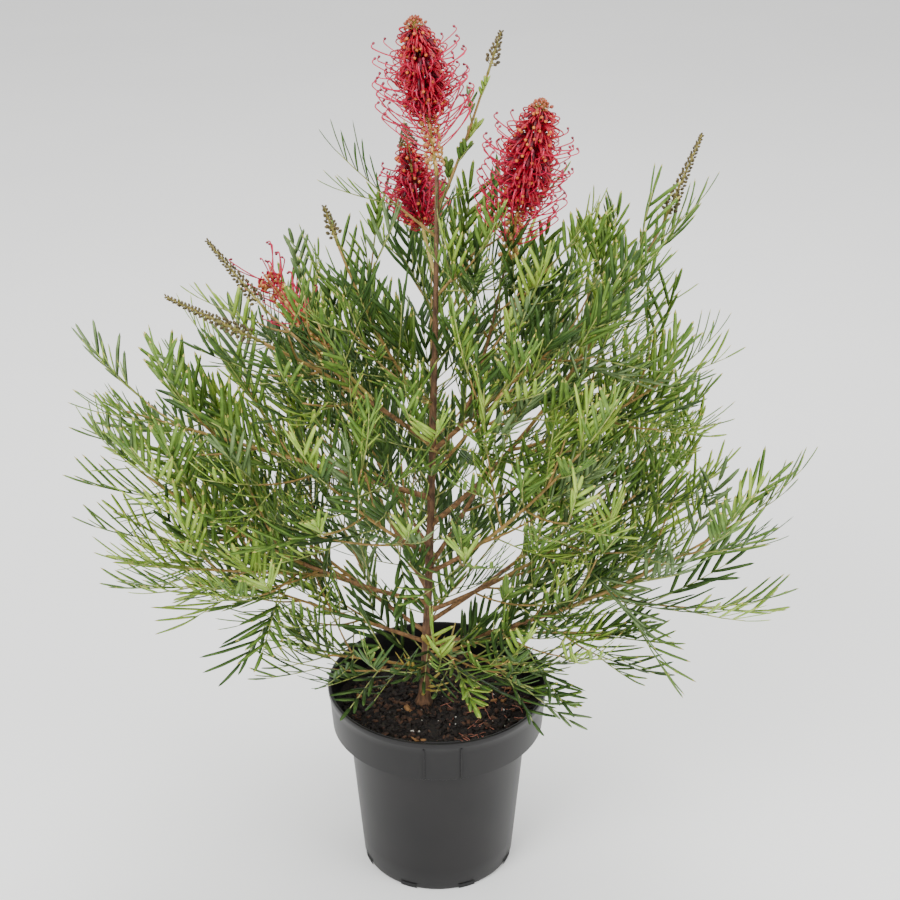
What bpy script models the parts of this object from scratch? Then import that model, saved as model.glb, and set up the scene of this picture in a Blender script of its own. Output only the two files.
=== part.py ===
"""A raspberry dream grevillea in a black nursery pot, modelled in metres with +Z up.

The origin is the centre of the pot's flat underside. The shrub has one upright trunk,
boughs that leave it, and a mass of twigs and leaves at the end of each bough. Every
limb is a row of BRANCHES: where it starts, which way it goes and how far it reaches.
"""

import math
import random
from typing import NamedTuple

import bmesh
import bpy
import numpy as np
from mathutils import Matrix, Vector
from mathutils.bvhtree import BVHTree

# Joints and clearances
GAP = 0.0003
LEAF_CLEARANCE = 0.0012
SPACE_MARGIN = 0.0010
UP = Vector((0.0, 0.0, 1.0))

# Pot: a standard 200 mm nursery pot with a deep collar
POT_STEPS = 32
RIM_RADIUS = 0.100
POT_HEIGHT = 0.1866
COLLAR_FOOT_RADIUS = 0.0965
COLLAR_FOOT = 0.146
NECK_RADIUS = 0.0815
NECK_HEIGHT = 0.140
BASE_RADIUS = 0.0705
BASE_CORNER = 0.004
RIM_LIP = 0.0018
WALL = 0.0020
RIB_WIDTH = 0.0016
RIB_PROUD = 0.0009
RIB_SPACING = 0.033
PANEL_OFFSET = 0.005
DRAIN_HOLES = 8
DRAIN_WIDTH = 0.016
DRAIN_HEIGHT = 0.005

# Potting mix
SOIL_TOP = 0.160
SOIL_DISH = 0.003

# Trunk
TRUNK_SIDES = 8
TRUNK_RINGS = 11
TRUNK_FOOT = Vector((-0.0126, 0.0024, SOIL_TOP + GAP))
TRUNK_TOP = Vector((0.0010, 0.0, 0.664))
TRUNK_FOOT_RADIUS = 0.0043
TRUNK_TOP_RADIUS = 0.0016
FLARE_RADIUS = 0.0034
FLARE_HEIGHT = 0.010
LEAN_POWER = 1.5
FOOT_SHARES = (0.0, 0.012, 0.035)

# How a stem's twigs and leaves are dealt out along it, as shares of its leafy part
TWIG_FIRST = 0.30
TWIG_SPREAD = 0.40
TWIG_SHORTEST = 0.040
TWIG_LONGEST = 0.085
TWIG_LIFT = 0.15
TWIG_ARCH = -0.05
TWIG_TRIES = 6
TWIG_TRY_TURN = 0.9
LEAF_FIRST = 0.12
LEAF_LAST = 0.97
END_LEAF_AT = 0.98
LEAF_TRIES = 8
LEAF_TRY_TURN = 0.7
LEAF_TRY_SHRINK = 0.06
LEAF_FACES_ALONG = 0.6
LEAF_FACES_UP = 0.8
RACHIS_TAPER = 0.4
LOBE_TAPER = 0.38
NOTHING = 1e-9

# Flower: where the styles start, and how they arch, as shares of their reach
STYLE_FIRST = 0.9
STYLE_LAST = 0.97
STYLE_ROOT = 0.35
STYLE_BEND = 0.76
STYLE_REACH = 0.96
STYLE_LIFT = 0.10
STYLE_TOP_LIFT = 0.25
STYLE_HOOK = 0.20

# Limbs
BOUGH_SIDES = 5
BOUGH_RINGS = 5
STEM_SIDES = 3
STEM_RINGS = 4
STEM_TIP_RADIUS = 0.0009
FINE_STEPS = 600
TWIG_ANGLE = math.radians(42.0)
TWIG_SHARE = 0.42
TWIG_RADIUS = 0.0011
TWIG_RINGS = 3
SPIRAL = math.radians(137.5)

# Leaves: a rachis with a keel, and pairs of pointed lobes that fold upwards
LEAF_ANGLE = math.radians(48.0)
LEAF_ARCH = 0.10
RACHIS_WIDTH = 0.0030
RACHIS_DEPTH = 0.0021
ROOT_TAPER = 0.30
PETIOLE_SHARE = 0.17
END_LOBE_SHARE = 0.24
LOBE_SHARE = 0.44
LOBE_FORWARD = math.radians(38.0)
LOBE_FOLD = math.radians(38.0)
LONG_LEAF = 0.092

# Bud spikes
SPIKE_SIDES = 4
SPIKE_RINGS = 7
SPIKE_RADIUS = 0.0058
SPIKE_TIP_RADIUS = 0.0022
SPIKE_STALK = 0.012

# Flower heads: a stalk, spent florets, then the open head with its long styles
HEAD_SIDES = 7
HEAD_RINGS = 6
HEAD_FOOT_SWELL = 0.20
HEAD_SWELL_SPAN = 0.64
STALK_RADIUS = 0.0015
SPENT_RADIUS = 0.0052
STYLE_RADIUS = 0.0012
STYLE_SPIRAL = math.radians(137.5)


class Branch(NamedTuple):
    """One limb: its bare bough, then the stem of its mass of leaves."""

    name: str
    on: str
    start: float
    azimuth: float
    reach: float
    top: float
    arch: float = 0.0
    radius: float = 0.0022
    bare: float = 0.34
    leaves: int = 6
    leaf: float = 0.095
    twigs: int = 2
    spike: float = 0.0
    lean: float = 0.0
    end_leaf: float = 0.85


class Head(NamedTuple):
    """One flower head on its own stalk, placed by its tip as a branch is."""

    name: str
    on: str
    start: float
    azimuth: float
    reach: float
    top: float
    arch: float
    stalk: float
    spent: float
    radius: float
    style: float
    styles: int


# The start is a height on the trunk, or a share of the length of the limb it leaves.
# The azimuth is in degrees from +X, the reach and top place the tip of the stem.
BRANCHES = (
    Branch("bud_shoot", "trunk", 0.632, 35, 0.050, 0.737, -0.04, 0.0014, 0.0, 1, 0.060, 0, 0.034),
    Branch("top_left", "trunk", 0.612, 196, 0.032, 0.642, 0.0, 0.0013, 0.0, 3, 0.088, 0),
    Branch("top_right", "trunk", 0.560, 350, 0.048, 0.622, 0.0, 0.0013, 0.0, 3, 0.075, 0),
    Branch("upper_right", "trunk", 0.419, 339, 0.139, 0.572, 0.0, 0.0022, 0.34, 5, 0.085, 2),
    Branch("flower_limb", "upper_right", 0.16, 341, 0.058, 0.590, -0.10, 0.0018, 1.0, 0),
    Branch("flower_side", "flower_limb", 0.72, 352, 0.104, 0.606, 0.0, 0.0012, 0.0, 3, 0.062, 0),
    Branch("right_spike", "trunk", 0.347, 9, 0.188, 0.612, -0.09, 0.0025, 0.44, 5, 0.088, 1, 0.080, 0.30),
    Branch("right_mid", "right_spike", 0.36, 351, 0.188, 0.498, -0.06, 0.0017, 0.0, 5, 0.085, 2),
    Branch("front_right", "trunk", 0.299, 312, 0.168, 0.480, -0.05, 0.0022, 0.34, 5, 0.085, 2),
    Branch("low_right", "trunk", 0.258, 346, 0.172, 0.399, -0.04, 0.0022, 0.36, 5, 0.085, 2),
    Branch("long_right", "trunk", 0.222, 346, 0.262, 0.388, -0.06, 0.0025, 0.40, 5, 0.090, 3),
    Branch("pot_right", "trunk", 0.206, 343, 0.150, 0.262, 0.08, 0.0017, 0.0, 4, 0.075, 2),
    Branch("rim_right", "trunk", 0.214, 314, 0.104, 0.232, 0.12, 0.0015, 0.0, 3, 0.072, 1),
    Branch("rim_front", "trunk", 0.232, 287, 0.058, 0.236, 0.12, 0.0013, 0.0, 3, 0.058, 0),
    Branch("left_spike", "trunk", 0.425, 200, 0.146, 0.541, 0.03, 0.0024, 0.46, 5, 0.085, 1, 0.090),
    Branch("second_spike", "left_spike", 0.42, 172, 0.142, 0.539, 0.0, 0.0015, 0.0, 5, 0.080, 1, 0.078, 0.25),
    Branch("inner_spike", "trunk", 0.462, 194, 0.080, 0.612, -0.12, 0.0016, 0.0, 4, 0.080, 1, 0.034, 0.10),
    Branch("long_left", "trunk", 0.374, 192, 0.256, 0.482, 0.0, 0.0025, 0.40, 5, 0.092, 3, end_leaf=0.55),
    Branch("back_inner", "trunk", 0.324, 147, 0.110, 0.468, -0.04, 0.0018, 0.34, 5, 0.085, 1),
    Branch("left_mid", "trunk", 0.268, 197, 0.246, 0.432, -0.06, 0.0024, 0.47, 6, 0.090, 2),
    Branch("left_low", "left_mid", 0.36, 203, 0.222, 0.354, 0.0, 0.0017, 0.0, 5, 0.088, 2),
    Branch("low_left", "trunk", 0.226, 190, 0.150, 0.298, 0.0, 0.0020, 0.34, 6, 0.082, 2),
    Branch("rim_left", "trunk", 0.196, 219, 0.120, 0.262, 0.02, 0.0017, 0.0, 4, 0.075, 2),
    Branch("front_left", "trunk", 0.318, 236, 0.150, 0.452, -0.03, 0.0020, 0.34, 4, 0.082, 2),
    Branch("front_high", "trunk", 0.395, 298, 0.112, 0.520, 0.0, 0.0017, 0.30, 4, 0.078, 1),
    Branch("back_right", "trunk", 0.304, 52, 0.205, 0.500, -0.05, 0.0022, 0.36, 5, 0.090, 2),
    Branch("back_high", "trunk", 0.382, 92, 0.165, 0.535, -0.04, 0.0021, 0.34, 5, 0.088, 2),
    Branch("back_left", "trunk", 0.280, 124, 0.215, 0.440, -0.04, 0.0022, 0.36, 5, 0.090, 2),
    Branch("back_far_left", "trunk", 0.236, 160, 0.210, 0.370, -0.03, 0.0021, 0.36, 5, 0.088, 2),
    Branch("back_low", "trunk", 0.212, 92, 0.185, 0.318, -0.03, 0.0021, 0.36, 5, 0.085, 2),
    Branch("back_far_right", "trunk", 0.246, 28, 0.225, 0.376, -0.04, 0.0022, 0.36, 5, 0.090, 2),
)

HEADS = (
    Head("flower_top", "trunk", 1.0, 180, 0.015, 0.780, 0.0, 0.06, 0.36, 0.0185, 0.040, 19),
    Head("flower_back", "trunk", 0.578, 114, 0.057, 0.674, -0.10, 0.44, 0.06, 0.0150, 0.030, 11),
    Head("flower_right", "flower_limb", 1.0, 340, 0.0855, 0.724, 0.0, 0.08, 0.34, 0.0190, 0.040, 18),
    Head("flower_spent", "left_spike", 0.28, 160, 0.155, 0.560, -0.04, 0.50, 0.30, 0.0055, 0.034, 9),
)


class Limb:
    """A tapering limb along one curve, from clear of its carrier to its end."""

    def __init__(self, foot, tip, arch, foot_radius, tip_radius):
        chord = tip - foot
        self.foot = foot
        self.tip = tip
        self.bend = (foot + tip) / 2 + UP * (2 * arch * chord.length)
        self.foot_radius = foot_radius
        self.tip_radius = tip_radius
        self.start = 0.0
        self.end = 1.0

    def point(self, t):
        """The point a share t of the way along the curve."""
        return self.foot * (1 - t) ** 2 + self.bend * (2 * t * (1 - t)) + self.tip * t**2

    def radius(self, t):
        """The limb's radius at t."""
        return self.foot_radius * (1 - t) + self.tip_radius * t

    def direction(self, t):
        """The way the limb runs at t."""
        step = 0.01
        return (self.point(min(t + step, 1.0)) - self.point(max(t - step, 0.0))).normalized()

    def shares(self, count, start=None, end=None):
        """Evenly spaced shares between two ends, the limb's own if none are given."""
        start = self.start if start is None else start
        end = self.end if end is None else end
        return [start + (end - start) * i / (count - 1) for i in range(count)]

    def seat(self, t, shares):
        """The point at t on the straight pieces between shares, where a leaf's root sits."""
        for low, high in zip(shares, shares[1:]):
            if t <= high:
                return self.point(low).lerp(self.point(high), (t - low) / (high - low))
        return self.point(shares[-1])

    def length(self):
        """The length of the curve between its ends."""
        line = [self.point(t) for t in self.shares(12)]
        return sum((b - a).length for a, b in zip(line, line[1:]))


class Trunk(Limb):
    """The upright trunk, which leans at its foot and flares at the soil."""

    def __init__(self):
        super().__init__(TRUNK_FOOT, TRUNK_TOP, 0.0, TRUNK_FOOT_RADIUS, TRUNK_TOP_RADIUS)

    def point(self, t):
        lean = (1 - t) ** LEAN_POWER
        return Vector((
            TRUNK_TOP.x + (TRUNK_FOOT.x - TRUNK_TOP.x) * lean,
            TRUNK_TOP.y + (TRUNK_FOOT.y - TRUNK_TOP.y) * lean,
            TRUNK_FOOT.z + (TRUNK_TOP.z - TRUNK_FOOT.z) * t,
        ))

    def radius(self, t):
        height = (TRUNK_TOP.z - TRUNK_FOOT.z) * t
        return super().radius(t) + FLARE_RADIUS * math.exp(-height / FLARE_HEIGHT)

    def share_at(self, height):
        """The share along the trunk at a height."""
        return (height - TRUNK_FOOT.z) / (TRUNK_TOP.z - TRUNK_FOOT.z)


def polar(azimuth, reach, height):
    """A point from its azimuth in degrees, its distance from the pot's axis and its height."""
    angle = math.radians(azimuth)
    return Vector((reach * math.cos(angle), reach * math.sin(angle), height))


def clear_start(limb, carrier):
    """The share along the limb where its end ring stands a gap clear of its carrier."""
    shares = carrier.shares(FINE_STEPS, 0.0, 1.0)
    line = np.array([carrier.point(t) for t in shares])
    thick = np.array([carrier.radius(t) for t in shares])
    for i in range(FINE_STEPS):
        t = i / FINE_STEPS
        centre = limb.point(t)
        gaps = np.linalg.norm(line - np.array(centre), axis=1) - thick
        near = int(gaps.argmin())
        away = centre - Vector(line[near])
        if away.length < thick[near]:
            continue
        along = limb.direction(t).dot(away.normalized())
        rim = limb.radius(t) * math.sqrt(max(0.0, 1 - along**2))
        if gaps[near] - rim >= GAP:
            return t
    return 0.0


def grow_from(row, carrier, tip_radius, foot_radius):
    """The curve of a branch or flower stalk, started clear of what carries it."""
    tip = polar(row.azimuth, row.reach, row.top)
    if row.start == 1.0:
        way = carrier.direction(1.0)
        tilt = math.sqrt(max(0.0, 1 - way.dot((tip - carrier.tip).normalized()) ** 2))
        return Limb(carrier.tip + way * (GAP + foot_radius * tilt), tip, row.arch, foot_radius, tip_radius)
    share = carrier.share_at(row.start) if isinstance(carrier, Trunk) else row.start
    limb = Limb(carrier.point(share), tip, row.arch, foot_radius, tip_radius)
    limb.start = clear_start(limb, carrier)
    return limb


def across(way):
    """Any direction square to the given one."""
    side = way.cross(UP)
    if side.length < 0.1:
        side = way.cross(Vector((1.0, 0.0, 0.0)))
    return side.normalized()


def tube(points, radii, sides, pointed=False, level=False):
    """Corners and faces of a closed tube through points, pointed at its end or with level rings."""
    corners = []
    faces = []
    side = across(points[1] - points[0])
    last = len(points) - 1
    for i, (centre, radius) in enumerate(zip(points, radii)):
        way = (points[min(i + 1, last)] - points[max(i - 1, 0)]).normalized()
        if level:
            way = UP
        side = (side - way * side.dot(way)).normalized()
        other = way.cross(side)
        if pointed and i == last:
            corners.append(centre)
            continue
        for k in range(sides):
            angle = 2 * math.pi * k / sides
            corners.append(centre + (side * math.cos(angle) + other * math.sin(angle)) * radius)
    for i in range(last):
        low = i * sides
        for k in range(sides):
            after = (k + 1) % sides
            if pointed and i == last - 1:
                faces.append((low + k, low + after, low + sides))
                continue
            faces.append((low + k, low + after, low + sides + after))
            faces.append((low + k, low + sides + after, low + sides + k))
    faces.append(tuple(range(sides))[::-1])
    if not pointed:
        faces.append(tuple(range(last * sides, (last + 1) * sides)))
    return corners, faces


def leaf_shape(root, along, up, length):
    """Corners and faces of one leaf, a keeled rachis with pairs of pointed lobes."""
    along = along.normalized()
    side = along.cross(up).normalized()
    up = side.cross(along)
    pairs = 4 if length >= LONG_LEAF else 3
    stations = [0.0]
    lobed = 1 - PETIOLE_SHARE - END_LOBE_SHARE
    stations += [PETIOLE_SHARE + lobed * k / pairs for k in range(pairs + 1)]

    def rachis(s):
        return root + along * (s * length) + up * (LEAF_ARCH * length * s * s)

    corners = []
    for s in stations:
        taper = 1 - RACHIS_TAPER * s if s else ROOT_TAPER
        centre = rachis(s)
        top = centre + up * (RACHIS_DEPTH * taper / 2)
        corners.append(top + side * (RACHIS_WIDTH * taper / 2))
        corners.append(top - side * (RACHIS_WIDTH * taper / 2))
        corners.append(centre - up * (RACHIS_DEPTH * taper / 2))
    faces = [(0, 1, 2)]
    for i in range(len(stations) - 1):
        low = 3 * i
        faces.append((low, low + 3, low + 1))
        faces.append((low + 1, low + 3, low + 4))
        for a, b, way in ((low + 1, low + 2, -side), (low + 2, low, side)):
            ring = (a, b, b + 3, a + 3)
            if i == 0:
                faces.append((ring[0], ring[1], ring[2]))
                faces.append((ring[0], ring[2], ring[3]))
                continue
            rank = (i - 1) / pairs
            reach = LOBE_SHARE * length * (1 - LOBE_TAPER * rank)
            spread = way * math.cos(LOBE_FOLD) + up * math.sin(LOBE_FOLD)
            point = rachis((stations[i] + stations[i + 1]) / 2)
            point = point + (along * math.cos(LOBE_FORWARD) + spread * math.sin(LOBE_FORWARD)) * reach
            corners.append(point)
            for m in range(4):
                faces.append((ring[m], ring[(m + 1) % 4], len(corners) - 1))
    end = 3 * (len(stations) - 1)
    corners.append(rachis(1.0))
    for a, b in ((end, end + 1), (end + 1, end + 2), (end + 2, end)):
        faces.append((a, b, len(corners) - 1))
    return corners, faces


def closed_mesh(name, corners, faces):
    """A mesh whose faces all point outwards."""
    mesh = bpy.data.meshes.new(name)
    mesh.from_pydata([tuple(corner) for corner in corners], [], faces)
    work = bmesh.new()
    work.from_mesh(mesh)
    bmesh.ops.recalc_face_normals(work, faces=work.faces)
    work.to_mesh(mesh)
    work.free()
    return mesh


def finish(name, colour, roughness, metallic=0.0):
    """A plain material for one object."""
    material = bpy.data.materials.new(name)
    material.use_nodes = True
    shader = material.node_tree.nodes["Principled BSDF"]
    shader.inputs["Base Color"].default_value = (*colour, 1.0)
    shader.inputs["Roughness"].default_value = roughness
    shader.inputs["Metallic"].default_value = metallic
    return material


BLACK_PLASTIC = ((0.018, 0.019, 0.021), 0.42)
COMPOST = ((0.020, 0.013, 0.010), 0.95)
BARK = ((0.22, 0.13, 0.07), 0.80)
LEAF_GREEN = ((0.12, 0.22, 0.04), 0.55)
PETAL_RED = ((0.62, 0.02, 0.06), 0.50)
SPENT_TAN = ((0.48, 0.22, 0.09), 0.60)


def add_object(name, mesh, look):
    """An object in the scene with its own material."""
    thing = bpy.data.objects.new(name, mesh)
    mesh.materials.clear()
    mesh.materials.append(finish(name, *look))
    bpy.context.scene.collection.objects.link(thing)
    return thing


def main_body(mesh):
    """Keeps a mesh's largest connected piece, so that no loose scrap is left."""
    work = bmesh.new()
    work.from_mesh(mesh)
    work.verts.ensure_lookup_table()
    seen = set()
    pieces = []
    for vert in work.verts:
        if vert in seen:
            continue
        piece = []
        queue = [vert]
        seen.add(vert)
        while queue:
            here = queue.pop()
            piece.append(here)
            for edge in here.link_edges:
                there = edge.other_vert(here)
                if there not in seen:
                    seen.add(there)
                    queue.append(there)
        pieces.append(piece)
    pieces.sort(key=len, reverse=True)
    loose = [vert for piece in pieces[1:] for vert in piece]
    if loose:
        bmesh.ops.delete(work, geom=loose, context="VERTS")
    work.to_mesh(mesh)
    work.free()


def joined(name, shapes, look):
    """One solid from overlapping closed shapes, the first of which carries the rest."""
    body = add_object(name, closed_mesh(name, *shapes[0]), look)
    body.data.shade_smooth()
    if len(shapes) == 1:
        return body
    group = bpy.data.collections.new(name + "_pieces")
    bpy.context.scene.collection.children.link(group)
    pieces = []
    for i, shape in enumerate(shapes[1:]):
        piece = bpy.data.objects.new(f"{name}_{i}", closed_mesh(f"{name}_{i}", *shape))
        group.objects.link(piece)
        pieces.append(piece)
    union = body.modifiers.new("union", "BOOLEAN")
    union.operation = "UNION"
    union.operand_type = "COLLECTION"
    union.collection = group
    union.solver = "EXACT"
    graph = bpy.context.evaluated_depsgraph_get()
    whole = bpy.data.meshes.new_from_object(body.evaluated_get(graph))
    body.modifiers.clear()
    old = body.data
    whole.materials.clear()
    whole.materials.append(old.materials[0])
    body.data = whole
    bpy.data.meshes.remove(old)
    whole.name = name
    for piece in pieces:
        mesh = piece.data
        bpy.data.objects.remove(piece)
        bpy.data.meshes.remove(mesh)
    bpy.data.collections.remove(group)
    main_body(whole)
    return body


def turned(name, profile, look):
    """A solid of revolution about Z from a closed profile of (radius, height) points."""
    work = bmesh.new()
    ring = [work.verts.new((radius, 0.0, height)) for radius, height in profile]
    edges = [work.edges.new((ring[i], ring[(i + 1) % len(ring)])) for i in range(len(ring))]
    on_axis = [e for e in edges if all(abs(v.co.x) < NOTHING for v in e.verts)]
    for edge in on_axis:
        edges.remove(edge)
        work.edges.remove(edge)
    bmesh.ops.spin(
        work, geom=ring + edges, cent=(0, 0, 0), axis=(0, 0, 1), angle=2 * math.pi, steps=POT_STEPS
    )
    bmesh.ops.remove_doubles(work, verts=work.verts, dist=1e-6)
    bmesh.ops.recalc_face_normals(work, faces=work.faces)
    mesh = bpy.data.meshes.new(name)
    work.to_mesh(mesh)
    work.free()
    mesh.shade_smooth()
    mesh.set_sharp_from_angle(angle=math.radians(35))
    return add_object(name, mesh, look)


def box(name, low, high, turn=0.0, draft=0.0):
    """A box mesh between two corners, leaned towards -Y by its draft and turned about Z in radians."""
    work = bmesh.new()
    bmesh.ops.create_cube(work, size=1.0)
    size = Vector(high) - Vector(low)
    middle = (Vector(high) + Vector(low)) / 2
    bmesh.ops.scale(work, vec=size, verts=work.verts)
    bmesh.ops.translate(work, vec=middle, verts=work.verts)
    for vert in work.verts:
        vert.co.y -= draft * (vert.co.z - low[2])
    bmesh.ops.rotate(work, cent=(0, 0, 0), matrix=Matrix.Rotation(turn, 3, "Z"), verts=work.verts)
    mesh = bpy.data.meshes.new(name)
    work.to_mesh(mesh)
    work.free()
    return mesh


def helper(name, mesh):
    """A hidden object that only a Boolean uses."""
    thing = bpy.data.objects.new(name, mesh)
    bpy.context.scene.collection.objects.link(thing)
    thing.hide_render = True
    thing.display_type = "WIRE"
    return thing


def boolean(body, name, operation, meshes):
    """A live Boolean on a body with a collection of hidden helpers."""
    group = bpy.data.collections.new(name)
    bpy.context.scene.collection.children.link(group)
    for mesh in meshes:
        tool = helper(mesh.name, mesh)
        group.objects.link(tool)
        bpy.context.scene.collection.objects.unlink(tool)
    modifier = body.modifiers.new(name, "BOOLEAN")
    modifier.operation = operation
    modifier.operand_type = "COLLECTION"
    modifier.collection = group
    modifier.solver = "EXACT"


def inner_wall():
    """The pot's inside from its rim down to the edge of its floor, as radius and height."""
    return [
        (RIM_RADIUS - RIM_LIP - WALL / 2, POT_HEIGHT),
        (COLLAR_FOOT_RADIUS - WALL, COLLAR_FOOT + WALL),
        (COLLAR_FOOT_RADIUS - 2 * WALL, COLLAR_FOOT - WALL / 4),
        (NECK_RADIUS - WALL, NECK_HEIGHT + WALL / 2),
        (BASE_RADIUS - WALL, BASE_CORNER + WALL / 2),
        (BASE_RADIUS - BASE_CORNER, WALL),
    ]


def build_pot():
    """The pot: a tapered wall, a deep collar, a flat floor and holes round its lower edge."""
    outside = [
        (0.0, 0.0),
        (BASE_RADIUS - BASE_CORNER, 0.0),
        (BASE_RADIUS, BASE_CORNER),
        (NECK_RADIUS, NECK_HEIGHT),
        (COLLAR_FOOT_RADIUS - WALL, COLLAR_FOOT - 0.0035),
        (COLLAR_FOOT_RADIUS, COLLAR_FOOT),
        (RIM_RADIUS, POT_HEIGHT - RIM_LIP),
        (RIM_RADIUS - RIM_LIP / 3, POT_HEIGHT),
    ]
    pot = turned("pot", outside + inner_wall() + [(0.0, WALL)], BLACK_PLASTIC)
    holes = []
    for i in range(DRAIN_HOLES):
        turn = 2 * math.pi * (i + 0.5) / DRAIN_HOLES
        low = (BASE_RADIUS - BASE_CORNER - WALL, -DRAIN_WIDTH / 2, -WALL)
        high = (BASE_RADIUS + WALL, DRAIN_WIDTH / 2, DRAIN_HEIGHT)
        holes.append(box(f"drain_{i}", low, high, turn))
    boolean(pot, "drains", "DIFFERENCE", holes)
    draft = (RIM_RADIUS - COLLAR_FOOT_RADIUS) / (POT_HEIGHT - COLLAR_FOOT)
    ribs = []
    for i, way in enumerate((-1, 1)):
        turn = math.asin((PANEL_OFFSET + way * RIB_SPACING / 2) / COLLAR_FOOT_RADIUS)
        low = (-RIB_WIDTH / 2, -COLLAR_FOOT_RADIUS - RIB_PROUD, COLLAR_FOOT + WALL)
        high = (RIB_WIDTH / 2, -COLLAR_FOOT_RADIUS + WALL / 2, POT_HEIGHT - 2 * RIM_LIP)
        ribs.append(box(f"rib_{i}", low, high, turn, draft))
    boolean(pot, "ribs", "UNION", ribs)


def build_soil():
    """The potting mix, which fills the pot to just below its rim and lies lower at its edge."""
    wall = inner_wall()
    rim, ledge = wall[0], wall[1]
    share = (SOIL_TOP - SOIL_DISH - ledge[1]) / (rim[1] - ledge[1])
    edge = ledge[0] + (rim[0] - ledge[0]) * share
    profile = [(0.0, WALL + GAP), (wall[-1][0] - GAP, WALL + GAP)]
    profile += [(radius - 1.5 * GAP, height + GAP) for radius, height in wall[-2:0:-1]]
    profile += [(edge - 1.5 * GAP, SOIL_TOP - SOIL_DISH), (edge * 0.55, SOIL_TOP), (0.0, SOIL_TOP)]
    turned("soil", profile, COMPOST)


def in_pot(points):
    """Whether any point comes near the pot's wall or the soil."""
    reach = np.hypot(points[:, 0], points[:, 1])
    low = points[:, 2] < POT_HEIGHT + 2 * LEAF_CLEARANCE
    inside = reach < RIM_RADIUS - 4 * WALL
    sunk = inside & (points[:, 2] < SOIL_TOP + 2 * LEAF_CLEARANCE)
    near_wall = ~inside & (reach < RIM_RADIUS + 2 * LEAF_CLEARANCE)
    return bool((low & (sunk | near_wall)).any())


def segments_of(limb, start, end, count):
    """Straight pieces along a limb, each with its two ends and its radius."""
    shares = limb.shares(count, start, end)
    return [
        (limb.point(a), limb.point(b), max(limb.radius(a), limb.radius(b)))
        for a, b in zip(shares, shares[1:])
    ]


def nearest(points, pieces, outside=False):
    """Each point's distance to the nearest piece's axis, or to its skin."""
    starts = np.array([piece[0] for piece in pieces])
    ways = np.array([piece[1] for piece in pieces]) - starts
    lengths = np.maximum((ways**2).sum(1), 1e-12)
    offsets = points[:, None, :] - starts[None, :, :]
    shares = np.clip((offsets * ways).sum(2) / lengths, 0.0, 1.0)
    gaps = np.linalg.norm(offsets - shares[:, :, None] * ways, axis=2)
    if outside:
        gaps = gaps - np.array([piece[2] for piece in pieces])
    return gaps.min(1)


def test_points(corners, faces):
    """A shape's corners, and the middles of its edges."""
    spots = np.array(corners)
    pairs = {tuple(sorted(pair)) for face in faces for pair in zip(face, face[1:] + face[:1])}
    ends = np.array(sorted(pairs))
    return np.vstack([spots, (spots[ends[:, 0]] + spots[ends[:, 1]]) / 2])


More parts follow.
